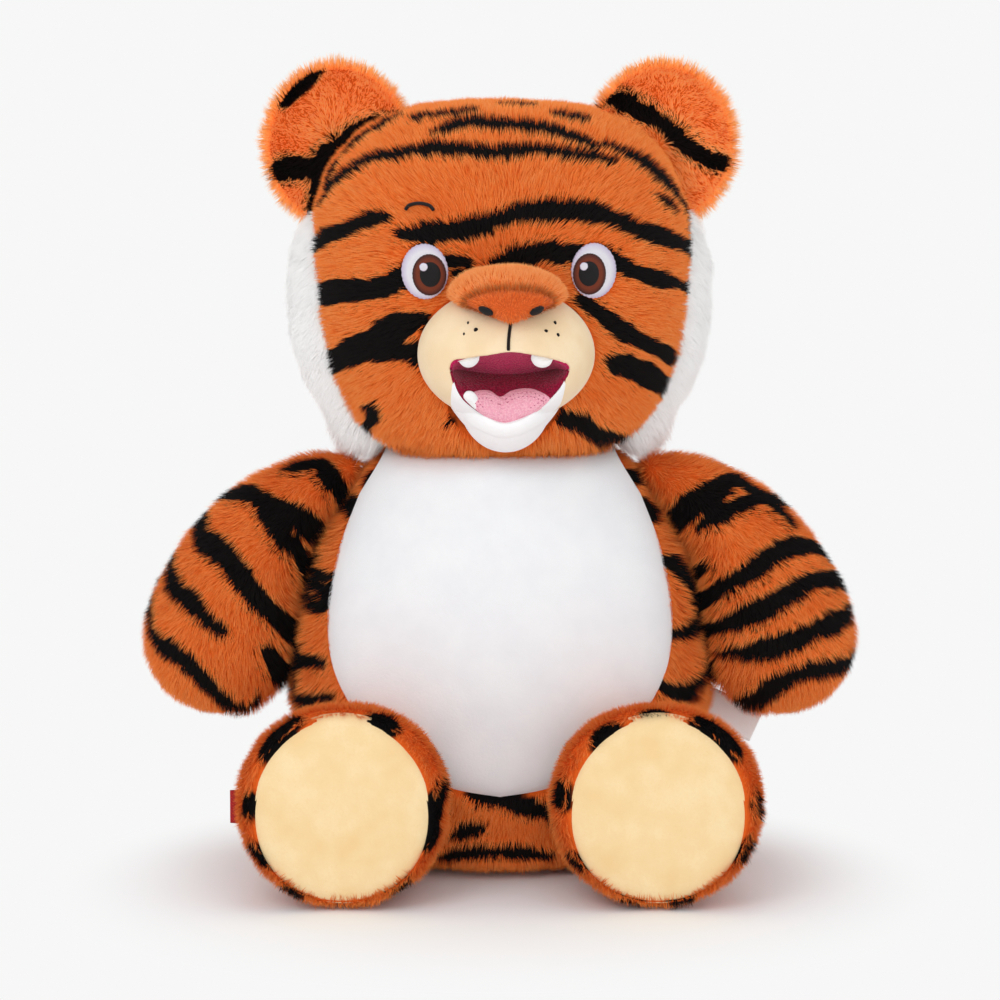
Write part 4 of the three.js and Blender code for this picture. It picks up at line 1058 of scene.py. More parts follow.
ARM_LINES = {
    "right": [
        ([(290, 450), (308, 450), (320, 463), (330, 481), (339, 499), (351, 509)], 15, 10, 0),
        ([(231, 481), (248, 493), (266, 505), (288, 515), (320, 537)], 18, 26, 14),
        ([(258, 511), (282, 539), (298, 558), (310, 578)], 16, 0, 10),
        ([(187, 521), (199, 539), (223, 556), (239, 578), (258, 602), (278, 622), (290, 635)], 18, 34, 14),
        ([(159, 568), (171, 588), (189, 604), (205, 622), (223, 635)], 16, 34, 0),
        ([(140, 620), (152, 641), (171, 655), (189, 669), (209, 689), (231, 707), (246, 709), (254, 697)], 16, 30, 0),
        ([(266, 653), (276, 671), (286, 677)], 19, 0, 14),
    ],
    "left": [
        ([(678, 523), (691, 509), (715, 493), (739, 477), (757, 473)], 20, 14, 30),
        ([(701, 529), (723, 515), (751, 501), (776, 489)], 14, 0, 26),
        ([(703, 606), (725, 588), (751, 574), (774, 556), (798, 546), (822, 543)], 16, 12, 34),
        ([(709, 631), (739, 622), (768, 608), (794, 594), (814, 582), (840, 580)], 17, 10, 30),
        ([(707, 633), (709, 648), (711, 663)], 15, 0, 10),
        ([(723, 653), (759, 653), (790, 645), (814, 633), (832, 626)], 18, 0, 34),
        ([(743, 707), (766, 695), (790, 681), (818, 673), (855, 667)], 18, 16, 30),
        ([(697, 578), (703, 571), (709, 566)], 11, 0, 0),
    ],
}
TORSO_LINES = [
    ([(360, 455), (371, 453), (384, 449)], 14, 16, 0),
    ([(335, 500), (345, 504), (356, 508)], 17, 10, 0),
    ([(306, 576), (319, 578), (333, 579)], 14, 30, 0),
    ([(305, 596), (314, 604), (325, 611)], 14, 24, 0),
    ([(293, 653), (306, 660), (322, 665)], 16, 34, 0),
    ([(281, 687), (303, 700), (329, 699)], 15, 34, 0),
    ([(629, 474), (641, 475), (652, 470)], 13, 0, 16),
    ([(644, 512), (655, 511), (668, 503)], 21, 0, 24),
    ([(660, 562), (675, 568), (692, 579)], 18, 0, 24),
    ([(671, 639), (686, 632), (699, 624)], 15, 0, 30),
    ([(664, 689), (686, 695), (717, 677)], 16, 0, 34),
    ([(483, 800), (515, 807), (547, 815)], 13, 10, 10),
    ([(454, 839), (468, 834), (481, 830)], 12, 0, 0),
    ([(440, 861), (488, 854), (551, 859)], 12, 0, 0),
]
FOOT_LINES = {
    "right": [
        [(291, 720), (264, 751)],
        [(376, 718), (392, 722)],
        [(449, 786), (436, 813), (434, 847)],
        [(248, 803), (244, 812)],
        [(250, 854), (265, 864)],
        [(284, 893), (297, 899)],
        [(402, 900), (412, 893)],
    ],
    "left": [
        [(648, 718), (660, 717)],
        [(702, 721), (719, 731), (738, 749)],
        [(762, 800), (764, 814)],
        [(757, 850), (749, 862)],
        [(692, 904), (678, 907)],
        [(632, 909), (618, 908)],
        [(557, 790), (556, 804)],
        [(568, 862), (577, 872)],
        [(600, 741), (612, 732)],
    ],
}
EAR_LINES = {
    "right": [
        ([(281, 102), (300, 87), (322, 65)], 19, 0, 4),
        ([(266, 178), (287, 169), (312, 170), (323, 182)], 23, 4, 0),
        ([(405, 109), (393, 126), (363, 131), (341, 145), (327, 158), (321, 185), (314, 208)], 22, 0, 0),
    ],
    "left": [
        ([(592, 101), (619, 99), (642, 111), (666, 124), (683, 141), (703, 157), (730, 165)], 18, 0, 6),
        ([(649, 63), (659, 62), (669, 64)], 9, 0, 0),
    ],
}

HEAD_STRIPES = all_traced(HEAD_SHELL, -12, HEAD_LINES + BRIDGE_LINES, 1.42)
HEAD_STRIPES += back_stripes(HEAD_SHELL, (368, 352, 330, 306, 282, 258, 236), 18, 5, from_angle=112)
TORSO_STRIPES = all_traced(TORSO_SHELL, -30, TORSO_LINES, 1.25)
TORSO_STRIPES += back_stripes(TORSO_SHELL, (186, 160, 133, 106, 79, 52, 26), 17, 6, from_angle=88)
ARM_STRIPES = {
    name: all_traced(ARM_SHELL[name], -20, ARM_LINES[name], 1.25) + arm_back(side, ARM_SHELL[name])
    for name, side in SIDES.items()
}

# ---- naps: the way in which the pile of each form lies ----
NOSE_AT = on_head(np.array([[0, -104.0, 78]]))[0]


def ways(*parts):
    """Directions from their x, y and z, each a number or one for each place."""
    return np.stack(np.broadcast_arrays(*parts), 1)


def down(places, facing):
    return ways(0.25 * places[:, 0] / 100, 0.25 * places[:, 1] / 100, -1)


def from_nose(places, facing):
    away = unit(places - NOSE_AT)
    back = np.clip((places[:, 1] + 20) / 60, 0, 1)
    chin = np.clip((NECK + 16 - places[:, 2]) / 10, 0, 1) * (places[:, 1] < 0)
    return away + ways(0, -1.1 * chin, -0.9 * back - 0.15 - 0.8 * chin)


def down_arm(places, facing):
    drop = np.clip((200 - places[:, 2]) / 130, 0, 1)
    return ways(np.sign(places[:, 0]) * (0.8 - 0.65 * drop), -0.08, -0.5 - drop)


def to_sole(places, facing):
    return ways(0 * places[:, 0], -1, -0.25)


def ruff_nap(places, facing):
    return ways(np.sign(places[:, 0]) * 0.45, 0.2, -1)


def ruff_room(places):
    """Pile is left longer at the bottom of the ruffs, where it hangs over the shoulders."""
    return 1 + 0.9 * np.clip((NECK + 26 - places[:, 2]) / 20, 0, 1)


def ruff_lift(places, facing):
    return np.clip((NECK + 24 - places[:, 2]) / 14, 0, 1)


# ---- torso ----
STEPS = 120
SEAM = seam_angles(TORSO, 9, STEPS)
BELLY = belly_outline()
BELLY_BARE = (BELLY - [0, 1.5]) * [0.972, 1] + [0, 1.2]
FULL = np.ones(STEPS + 1)
COVERS = {
    "front_skin": (math.pi - SEAM, 2 * math.pi + SEAM),
    "back_skin_left": (SEAM, FULL * (math.pi / 2 - 0.008)),
    "back_skin_right": (FULL * (math.pi / 2 + 0.008), math.pi - SEAM),
}


def flank_out(grid):
    points = grid.reshape(-1, 3)
    moved = points + unit(points * [1, 1, 0]) * (FLANK_OUT * flank(points))[:, None]
    return moved.reshape(grid.shape)


for name, (start, stop) in COVERS.items():
    skin(name + "_cloth", panel(TORSO, start, stop, flank_out), TORSO_STRIPES, **riding(name, 0.8, "torso"))


def torso_keep(which):
    """The pile of one cover, without the belly, the zip, and what the head and the limbs hide."""

    def keep(places, facing):
        x, y, z = places.T
        front = y < 9
        side = {"front_skin": front, "back_skin_left": ~front & (x >= 0), "back_skin_right": ~front & (x < 0)}[which]
        kept = side & (z < NECK + 2) & ~in_skull(places, 2)
        kept &= ~(front & (y < 0) & inside(BELLY_BARE, x, z))
        kept &= ~(~front & (np.abs(x) < 5.4) & (z > 49) & (z < 153))
        near_leg = (y < -15) & (np.abs(x) > 12) & (z < 92)
        near_arm = (z > 150) & (np.abs(x) > 60)
        near_tail = (y > 50) & (np.abs(x) < 16) & (z < 60)
        limbs = ((near_leg, LEG_SHELL.values()), (near_arm, ARM_SHELL.values()), (near_tail, [TAIL_SHELL]))
        for near, shells in limbs:
            for shell in shells:
                index = np.nonzero(kept & near)[0]
                kept[index] = ~inside_tree(shell, places[index])
        return kept

    return keep


for seed, name in enumerate(COVERS, 20):
    grow(name + "_fur", TORSO_ROOT, ORANGE_FUR, down, TORSO_STRIPES, torso_keep(name), seed, lift=flank,
         **riding(name, 0.8, "torso"))

filling_points, filling_faces = torso_form(ROOT - 5, 120, 80)
filling_points[:, 2] = np.minimum(filling_points[:, 2], NECK - 1)
piece("body_filling", (filling_points, filling_faces), "torso", FILLING, ["body_stuffing"], "filling", 0.8)


def belly_front(x, z, inset):
    return front_of(TORSO, 0, x, z) + 0.4 + 4.4 * np.exp(-inset / 4.0)


def evenly(outline, count):
    """The same closed outline with evenly spaced points."""
    ring = np.vstack([outline, outline[:1]])
    run = run_along(ring)
    at = np.linspace(0, run[-1], count + 1)[:-1]
    return np.stack([np.interp(at, run, ring[:, k]) for k in (0, 1)], 1)


belly = patch(evenly(BELLY[BELLY[:, 1] < 207], 260), belly_front, 60, 1.6)
piece("belly", belly, "torso", BELLY_VELOUR, ["belly_panel"], "belly_velour", 0.8)


# ---- head ----
def mouth_dent(grid):
    ring = (grid[..., 0] / 34) ** 2 + ((grid[..., 2] - 38) / 29) ** 2
    share = np.clip(1.25 - ring, 0, 1) * (grid[..., 1] < 0)
    grid = grid.copy()
    grid[..., 1] += 15 * share * share * (3 - 2 * share)
    return grid


FACE_RIDE = riding("face_panel", 0.85, "head")
NAPE_RIDE = riding("head_back", 0.85, "head")
HEAD_SEAM = seam_angles(HEAD, 6, STEPS)
face = panel(HEAD, math.pi - HEAD_SEAM, 2 * math.pi + HEAD_SEAM, mouth_dent)
skin("face_cloth", placed(face), HEAD_STRIPES, **FACE_RIDE)
nape = panel(HEAD, HEAD_SEAM, math.pi - HEAD_SEAM)
skin("nape_cloth", placed(nape), HEAD_STRIPES, **NAPE_RIDE)
filled, filled_faces = closed(rounds(HEAD, ROOT - 5, round_angles(120), 80))
filled = mouth_dent(filled)
filled[:, 2] = np.maximum(filled[:, 2], 1.0)
piece("head_filling", placed((filled, filled_faces)), "head", FILLING, ["head_stuffing"], "filling", 0.85)

# Ellipsoids of the face, in the head's own frame: the centre and the half sizes
MUZZLE = ((0, -82, 54.5), (43.5, 38, 33))
BRIDGE = ((0, -92, 82), (30, 29, 17.5))
NOSE = ((0, -104, 81), (26, 21.5, 15))
JAW = ((0, -74, 30.5), (28, 34, 25.5))
SIDEWAYS = np.array([-2.0, 0, 0])  # the muzzle and all on it sit a little to one side
EYE_X, EYE_Z = 41.2, 94.3
EYE_WHITE = (11.2, 13.3)


def head_keep(front):
    def keep(places, facing):
        local = in_head(places)
        x, y, z = local.T
        kept = ((y < 6) == front) & (z > 1) & ~in_ruff(places, ROOT - 5)
        for ball in (MUZZLE, BRIDGE, NOSE, JAW):
            kept &= ~in_ball(local - SIDEWAYS, *ball, 0.4)
        for side in SIDES.values():
            reach = ((x - side * EYE_X) / (EYE_WHITE[0] - 0.2)) ** 2 + ((z - EYE_Z) / (EYE_WHITE[1] - 0.2)) ** 2
            kept &= ~((reach < 1) & (y < 0))
        return kept & ~((z < 10) & in_torso(places, -2))

    return keep


def eye_room(places):
    """Pile is clipped shorter beside the eyes, and left longer at the chin."""
    x, y, z = in_head(places).T
    near = np.full(len(places), FAR)
    for side in SIDES.values():
        near = np.minimum(near, np.hypot(x - side * EYE_X, (z - 94) * 0.9) - 11.5)
    near = np.where(y < 0, near, FAR)
    chin = np.clip((18 - z) / 12, 0, 1) * (y < -20)
    return np.clip(0.55 + near / 16, 0.55, 1) * (1 + 0.7 * chin)


grow("face_fur", HEAD_ROOT, ORANGE_FUR, from_nose, HEAD_STRIPES, head_keep(True), 31, room=eye_room, **FACE_RIDE)
grow("nape_fur", HEAD_ROOT, ORANGE_FUR, from_nose, HEAD_STRIPES, head_keep(False), 32, **NAPE_RIDE)


def ruff_keep(places, facing):
    return ~in_skull(places, ROOT + 0.5) & (places[:, 2] > NECK + 1)


for name, side in SIDES.items():
    node_name = "cheek_ruff_" + name
    ride = riding(node_name, 0.85, "head", slot="white_plush")
    skin(node_name + "_cloth", RUFF_ROOT[name], material=WHITE_SKIN, **ride)
    grow(node_name + "_fur", RUFF_ROOT[name], WHITE_FUR, ruff_nap, (), ruff_keep, 40 + side, density=2.2, length=7,
         width=0.5, lean=1.2, clump=0.25, room=ruff_room, lift=ruff_lift, **ride)


# ---- limbs: each with the two points, given in metres, where it is sewn on ----
def arm_keep(places, facing):
    return ~in_torso(places, -3) & ~in_skull(places, -2) & ~in_ruff(places, -2)


for name, side in SIDES.items():
    bend = ("torso", "arm_" + name, (side * 0.074, -0.002, 0.197), (side * 0.1, -0.002, 0.182))
    node_name = "arm_skin_" + name
    ride = riding(node_name, 0.8, blend=bend)
    skin(node_name + "_cloth", ARM_ROOT[name], ARM_STRIPES[name], **ride)
    grow(node_name + "_fur", ARM_ROOT[name], ORANGE_FUR, down_arm, ARM_STRIPES[name], arm_keep, 50 + side,
         lift=arm_inside, **ride)
    inner = arm_form(side, ROOT - 4, 48, 40)
    piece("arm_filling_" + name, inner, None, FILLING, ["arm_stuffing_" + name], "filling", 0.8, bend)

SOLE_AT = (75.5, 49.5)
SOLE_HALF = (45.2, 46.0)


def leg_stripes(side, tree, lines):
    """The marks that the picture shows round the sole, and guessed stripes over the leg in broken rings."""
    marks = [traced(tree, -150, line, 19, 3, 3, 0.7) for line in lines]
    for y in (-118, -92, -66):
        rays = []
        for angle in np.linspace(-35, 215, 14):
            way = (math.cos(math.radians(angle)) * side, 0, math.sin(math.radians(angle)))
            rays.append(((side * 72, y + 5 * math.sin(angle / 30), 46), way))
        ring = cast(tree, rays)
        marks += [finished(tree, part, 15, 0, 0, 0.3) for part in (ring[:6], ring[8:])]
    return marks


def leg_end(tree, x, z):
    """The y of the end of a leg at each x and z."""
    y = np.empty(x.shape)
    for index in np.ndindex(x.shape):
        hit = tree.ray_cast(Vector((x[index], -300, max(z[index], 0.6))), Vector((0, 1, 0)))[0]
        y[index] = hit[1] if hit is not None else -140
    return y


for name, side in SIDES.items():
    tree = LEG_SHELL[name]
    marks = leg_stripes(side, tree, FOOT_LINES[name])

    def leg_keep(places, facing):
        x, y, z = places.T
        wide, tall = (half - 0.8 for half in SOLE_HALF)
        rim = ((x - side * SOLE_AT[0]) / wide) ** 2 + ((z - SOLE_AT[1]) / tall) ** 2 > 1
        return ~in_torso(places, -3) & (rim | (y > -125))

    bend = ("torso", "leg_" + name, (side * 0.067, -0.05, 0.042), (side * 0.067, -0.08, 0.042))
    node_name = "leg_skin_" + name
    ride = riding(node_name, 0.85, blend=bend)
    skin(node_name + "_cloth", LEG_ROOT[name], marks, **ride)
    grow(node_name + "_fur", LEG_ROOT[name], ORANGE_FUR, to_sole, marks, leg_keep, 60 + side, **ride)
    inner = leg_form(side, ROOT - 4, 48, 40)
    piece("leg_filling_" + name, inner, None, FILLING, ["leg_stuffing_" + name], "filling", 0.85, bend)
    angle = round_angles(120)
    outline = [side * SOLE_AT[0] + SOLE_HALF[0] * np.cos(angle), SOLE_AT[1] + SOLE_HALF[1] * np.sin(angle)]
    sole = patch(np.stack(outline, 1), lambda x, z, inset: leg_end(tree, x, z) + 3.2 * np.exp(-inset / 3.5), 30, 2.5)
    piece(f"sole_{name}_pad", sole, "leg_" + name, CREAM_VELOUR, ["sole_" + name], "cream_velour", 0.85)


# ---- tail ----
def tail_nap(places, facing):
    line = smooth_rows(TAIL_LINE, 60)
    nearest = np.argmin(((places[:, None] - line[None]) ** 2).sum(-1), 1)
    return unit(np.gradient(line, axis=0)[nearest])


def tail_stripes():
    """Five rings round the tail and a black tip."""
    line = smooth_rows(TAIL_LINE, 100)
    found = []
    for share in (0.2, 0.36, 0.52, 0.68, 0.84):
        centre = line[int(share * 100)]
        along = unit(line[int(share * 100) + 1] - centre)
        across = unit(np.cross(along, [0, 0, 1]))
        over = np.cross(across, along)
        ring = [centre + 13.4 * (across * math.cos(a) + over * math.sin(a)) for a in np.linspace(0, 2 * math.pi, 22)]
        found.append((np.array(ring), np.full(22, 3.6 + 0.6 * math.sin(share * 20))))
    tip = line[95:]
    return found + [(tip, np.full(len(tip), 15.0))]


TAIL_BEND = ("torso", "tail", (0, 0.074, 0.036), (0, 0.092, 0.033))
TAIL_RIDE = riding("tail_skin", 0.8, blend=TAIL_BEND)
TAIL_STRIPES = tail_stripes()
skin("tail_cloth", TAIL_ROOT, TAIL_STRIPES, **TAIL_RIDE)
grow("tail_fur", TAIL_ROOT, ORANGE_FUR, tail_nap, TAIL_STRIPES, lambda places, facing: ~in_torso(places, -3), 70,
     **TAIL_RIDE)
piece("tail_filling", tail_form(ROOT - 3, 24, 50), None, FILLING, ["tail_stuffing"], "filling", 0.8, TAIL_BEND)

# ---- ears ----
EAR = {"x": 81.5, "y": 5, "z": 151.5, "wide": 37.5, "high": 42, "fall": 19}


def ear_dish(side, grown, front, rear, sides=110, steps=30):
    """A dished round panel: how far its rim is grown, and its depths at the middle."""
    shares = np.sin(np.linspace(0, 1, steps + 1) * math.pi / 2)
    wide, high = EAR["wide"] + grown, EAR["high"] + grown
    angle = round_angles(sides)

    def ring(share, depth, out=0.0):
        x = EAR["x"] + (share * wide + out) * np.cos(angle)
        z = EAR["z"] + (share * high + out) * np.sin(angle)
        fall = EAR["fall"] * (share * high / EAR["high"]) ** 2
        return np.stack([x, np.full(sides, EAR["y"] + depth - fall), z], 1)

    rings = [ring(share, front) for share in shares]
    for turn in (0.25, 0.5, 0.75):
        rings.append(ring(1, front + (rear - front) * turn, (rear - front) / 2 * math.sin(turn * math.pi)))
    rings += [ring(share, rear) for share in shares[::-1]]
    return placed(mirrored(closed(np.array(rings)), side))


def ear_nap(places, facing):
    """Outwards from the middle of the ear that each place belongs to."""
    local = in_head(places)
    side = np.sign(local[:, 0])
    middle = ways(side * EAR["x"], EAR["y"] + 9, EAR["z"])
    turn = on_head(local - middle) - [0, 0, NECK]
    return turn * [1, 0.35, 1] + [0, -4, 2]


def rim_nap(places, facing):
    return ear_nap(places, facing) * [1, 0, 1] + [0, -9, 0]


def ear_reach(places, x=0, z=0):
    """How far from an ear's middle each place lies, as a share of the ear's size."""
    local = in_head(places)
    return np.hypot((np.abs(local[:, 0]) - EAR["x"] + x) / EAR["wide"], (local[:, 2] - EAR["z"] + z) / EAR["high"])


def painted_cup_shade(places):
    """Painted shade: the pile is painted darker towards the bottom of an ear's cup, where shade falls."""
    return 0.6 * np.clip(1.0 - 1.4 * ear_reach(places, 6, 15), 0, 1)


def off_head(places):
    return ~in_skull(places, -3) & ~in_ruff(places, -2)


def front_keep(places, facing):
    return (facing[:, 1] < 0.15) & off_head(places)


def rear_keep(places, facing):
    return (facing[:, 1] >= 0.15) & off_head(places)


def rim_keep(places, facing):
    return (ear_reach(places) > 0.8) & off_head(places)


def ear_back_stripes(side):
    tree = tree_of(ear_dish(side, 0, 10, 15))
    found = []
    for level, runs in ((22, (30, 18, 6)), (2, (34, 22, 12)), (-16, (30, 18, 6))):
        spots = [np.array([side * (EAR["x"] + run), 40, EAR["z"] + level + run * 0.25]) for run in runs]
        line = [np.array(tree.find_nearest(Vector(on_head(spot)))[0]) for spot in spots]
        found.append(finished(tree, line, 14, 12, 0, 0.3))
    return found


SKULL_COARSE = head_form(ROOT - 2, 72, 44)
for name, side in SIDES.items():
    marks = all_traced(tree_of(ear_dish(side, 0, 4.7, 9.4)), 0, EAR_LINES[name])
    start, end = on_head(np.array([[side * 72.0, 5, 147], [side * 81.0, 5, 156]])) * MM
    bend = ("head", "ear_" + name, tuple(start), tuple(end))
    for form, part, stripes, fur, keep, painted_shade in (
        (ear_dish(side, -4.5, 7.6, 9.3), "ear_front_", marks, EAR_FUR_PAINTED_LIGHT, front_keep, painted_cup_shade),
        (ear_dish(side, -4.2, 9.7, 11.0), "ear_back_", ear_back_stripes(side), ORANGE_FUR, rear_keep, None),
    ):
        node_name = part + name
        ride = riding(node_name, 0.7, blend=bend)
        skin(node_name + "_cloth", carved(form, [SKULL_COARSE], voxel=0), stripes, **ride)
        grow(node_name + "_fur", form, fur, ear_nap, stripes, keep, 80 + side, painted_shade=painted_shade, **ride)
    grow(f"ear_rim_{name}_fur", ear_dish(side, -3.4, 9.0, 10.4), EAR_FUR_PAINTED_LIGHT, rim_nap, marks, rim_keep, 90 + side,
         density=2.6, length=7.5, lean=0.8, **riding("ear_front_" + name, 0.7, blend=bend))

# ---- face ----
LEAN = math.radians(18)
UPPER_LIP = ([-28, -19, -10.7, 0, 11.5, 20, 28], [52.6, 55.8, 57.2, 58.8, 57, 54.8, 51])  # x and z
LOWER_LIP = ([-28, -22.8, -17, -11, -2.4, 6, 14, 19.8, 28], [46, 36.4, 31, 27, 23.8, 26, 30.4, 35.6, 47])


def on_face(points):
    return on_head(points + SIDEWAYS)


def in_face(places):
    return in_head(places) - SIDEWAYS


def face_piece(name, form, material, nodes, slot, fill=None):
    return piece(name, placed(form, on_face), "head", material, nodes, slot, fill)


def lip_y(z, depth):
    """The y at a depth behind the plane of the lips, which leans back towards the chin."""
    return -107.5 + (depth - (np.asarray(z) - 39) * math.sin(LEAN)) / math.cos(LEAN)


def resampled(outline, count):
    """The same closed outline on a smooth curve, with evenly spaced points."""
    outline = np.array(outline, float)
    padded = np.vstack([outline[-3:], outline, outline[:4]])
    fine = smooth_rows(padded, (len(padded) - 1) * 16)[3 * 16 : (3 + len(outline)) * 16 + 1]
    run = run_along(fine)
    at = np.linspace(0, run[-1], count + 1)[:-1]
    return np.stack([np.interp(at, run, fine[:, k]) for k in (0, 1)], 1)


def grown(outline, margin):
    """An outline moved outwards by a margin."""
    way = unit(np.roll(outline, -1, axis=0) - np.roll(outline, 1, axis=0))
    across = np.stack([way[:, 1], -way[:, 0]], 1)
    area = (outline[:, 0] * np.roll(outline[:, 1], -1) - outline[:, 1] * np.roll(outline[:, 0], -1)).sum()
    return outline + across * margin * (1 if area > 0 else -1)


MOUTH = resampled(
    [[-27.4, 53], [-19, 55.8], [-10.7, 57.2], [0, 58.8], [11.5, 57], [20, 54.8], [27.2, 51.6], [27.2, 47], [24.4, 41],
     [19.8, 35.6], [14, 30.4], [6, 26], [-2.4, 23.8], [-11, 27], [-17, 31], [-22.8, 36.4], [-26.4, 43.5]], 140
)


def mouth_cutter(margin):
    """The room of the mouth, from before the lips to 26 mm behind them."""
    return prism(grown(MOUTH, margin), -220, lambda z: lip_y(z, 26))


SKULL = closed(rounds(HEAD, ROOT - 1, round_angles(96), 60))
muzzle = carved(ellipsoid(*MUZZLE, -0.3), [mouth_cutter(0.4), SKULL])
face_piece("muzzle_velour", muzzle, MUZZLE_VELOUR, ["muzzle"], "cream_velour", 0.9)
jaw, jaw_faces = carved(ellipsoid(*JAW, -0.6), [mouth_cutter(0.6), ellipsoid(*MUZZLE, -0.1), SKULL])
jaw[:, 0] *= 0.82 + 0.18 * np.clip((jaw[:, 2] - 19) / 10, 0, 1)
face_piece("jaw_velour", (jaw, jaw_faces), JAW_VELOUR, ["jaw"], "white_velour", 0.9)


def ball_front(ball, x, z):
    (cx, cy, cz), half = ball
    return cy - half[1] * np.sqrt(np.clip(1 - ((x - cx) / half[0]) ** 2 - ((z - cz) / half[2]) ** 2, 0, 1))


def lip_form(wide=4.6, columns=14):
    """The fleece of the jaw carried up beside the mouth, over the edge of the muzzle."""
    low = MOUTH[MOUTH[:, 1] < 44.5]
    start = np.argmax(np.linalg.norm(np.diff(low, axis=0), axis=1)) + 1
    if np.linalg.norm(low[start % len(low)] - low[start - 1]) > 4:
        low = np.roll(low, -start, axis=0)
    way = unit(np.gradient(low, axis=0))
    out = np.stack([way[:, 1], -way[:, 0]], 1)
    out *= np.sign(((low - MOUTH.mean(0)) * out).sum(1))[:, None]
    run = np.linspace(0, 1, len(low))
    taper = np.clip(np.minimum(run, 1 - run) * 7, 0, 1) ** 0.6
    share = np.linspace(0, 1, columns)
    broad = wide + 3.6 * np.clip((41 - low[:, 1]) / 8, 0, 1)
    flat = low[:, None] + out[:, None] * (0.1 + share[None] * (broad * taper)[:, None])[..., None]
    x, z = flat[..., 0], flat[..., 1]
    swell = 1.1 * np.sin(share * math.pi)[None] ** 0.5 * taper[:, None]
    y = np.minimum(ball_front(MUZZLE, x, z), ball_front(JAW, x / 0.88, z)) - swell + 0.5
    y[:, 0] = lip_y(z[:, 0], 3.0)
    y[:, 1] = np.minimum(y[:, 1], lip_y(z[:, 1], 0.2))
    front = np.stack([x, y, z], -1)
    return slab(front, front + [0, 2.2, 0])


face_piece("jaw_lip", lip_form(), JAW_VELOUR, ["jaw"], "white_velour", 0.9)

UNDER_BRIDGE = prism(
    [[-60, 40], [60, 40], [60, 84.5], [27, 83.6], [21.5, 80.6], [0, 80], [-21.5, 80.6], [-27, 83.6], [-60, 84.5]],
    -200, 0,
)
NOSE_OUTLINE = resampled(
    [[0, 88.6], [10, 87.8], [17.6, 85.4], [20.8, 82], [15.4, 79.2], [8, 76.6], [2.6, 74.4], [0, 73.8], [-2.6, 74.4],
     [-8, 76.6], [-15.4, 79.2], [-20.8, 82], [-17.6, 85.4], [-10, 87.8]], 110
)
BRIDGE_RIDE = riding("nose_bridge", 0.9, "head", slot="orange_velour")


def bridge_nap(places, facing):
    return ways(in_face(places)[:, 0] * 0.012, 0.9, 0.45)


def nose_nap(places, facing):
    local = in_face(places)
    return ways(local[:, 0] * 0.02, 0.1, (local[:, 2] - 80) * 0.1)


def painted_crease_shadow(places):
    """Painted shadow: the pile is painted darker down in the seam round the nose."""
    local = in_face(places)
    gap = np.full(len(places), FAR)
    for x, z in NOSE_OUTLINE[::2]:
        gap = np.minimum(gap, np.hypot(local[:, 0] - x, local[:, 2] - z))
    return 0.9 * np.exp(-((gap / 1.3) ** 2)) * (local[:, 2] > 77)


def bridge_keep(places, facing):
    local = in_face(places)
    under = inside(grown(NOSE_OUTLINE, -0.6), local[:, 0], local[:, 2]) & (local[:, 1] < -108)
    return ~in_ball(local, *MUZZLE, 0.3) & ~in_skull(places, -2.5) & ~under & (local[:, 2] > 80.5)


def nose_front(x, z, inset):
    return ball_front(NOSE, x, z) + 1.6 + 3.0 * np.exp(-inset / 1.8)


bridge = placed(carved(ellipsoid(*BRIDGE, -1.6), [ellipsoid(*MUZZLE, -0.3), UNDER_BRIDGE, SKULL], soften=7), on_face)
skin("bridge_cloth", bridge, **BRIDGE_RIDE)
grow("bridge_fur", bridge, BRIDGE_FUR, bridge_nap, (), bridge_keep, 101, density=2.6, length=3.6, width=0.4,
     clump=0.15, painted_shade=painted_crease_shadow, **BRIDGE_RIDE)
nose = patch(NOSE_OUTLINE, nose_front, 26, 9)
face_piece("nose_velour", nose, NOSE_VELOUR, ["nose"], "nose_velour", 0.9)
grow("nose_fur", placed(nose, on_face), NOSE_FUR, nose_nap, (), lambda places, facing: facing[:, 1] < 0.2, 103,
     density=3.0, length=2.2, width=0.36, lean=0.8, clump=0.1, painted_shade=painted_crease_shadow,
     **riding("nose", 0.9, "head", slot="nose_velour"))


def ellipse(x, z, half_wide, half_high, count=96, rough=0.0, turn=0.0):
    """An ellipse, turned by an angle, whose rim can be uneven as a row of stitches is."""
    angle = round_angles(count)
    reach = 1 + rough * np.sin(angle * 37 + np.sin(angle * 5) * 2)
    flat = np.stack([half_wide * np.cos(angle) * reach, half_high * np.sin(angle) * reach], 1)
    way = np.array([[math.cos(turn), -math.sin(turn)], [math.sin(turn), math.cos(turn)]])
    return flat @ way.T + [x, z]


def stitched(name, outline, lift, thickness, material, node_name, slot, fall=0.5):
    """A patch of embroidery on the face, lifted above the pile's tips."""

    def surface(x, z, inset):
        return front_of(HEAD, lift, x, z) + fall * np.exp(-inset / 0.8)

    points, faces = patch(outline, surface, 16, thickness)
    mesh = mesh_of(name, on_head(points), faces)
    centre = (outline.min(0) + outline.max(0)) / 2
    half = (outline.max(0) - outline.min(0)) / 2
    set_values(mesh, "edge", np.hypot(*((points[:, [0, 2]] - centre) / half).T))
    piece(name, mesh, "head", material, [node_name], slot, 0.9)


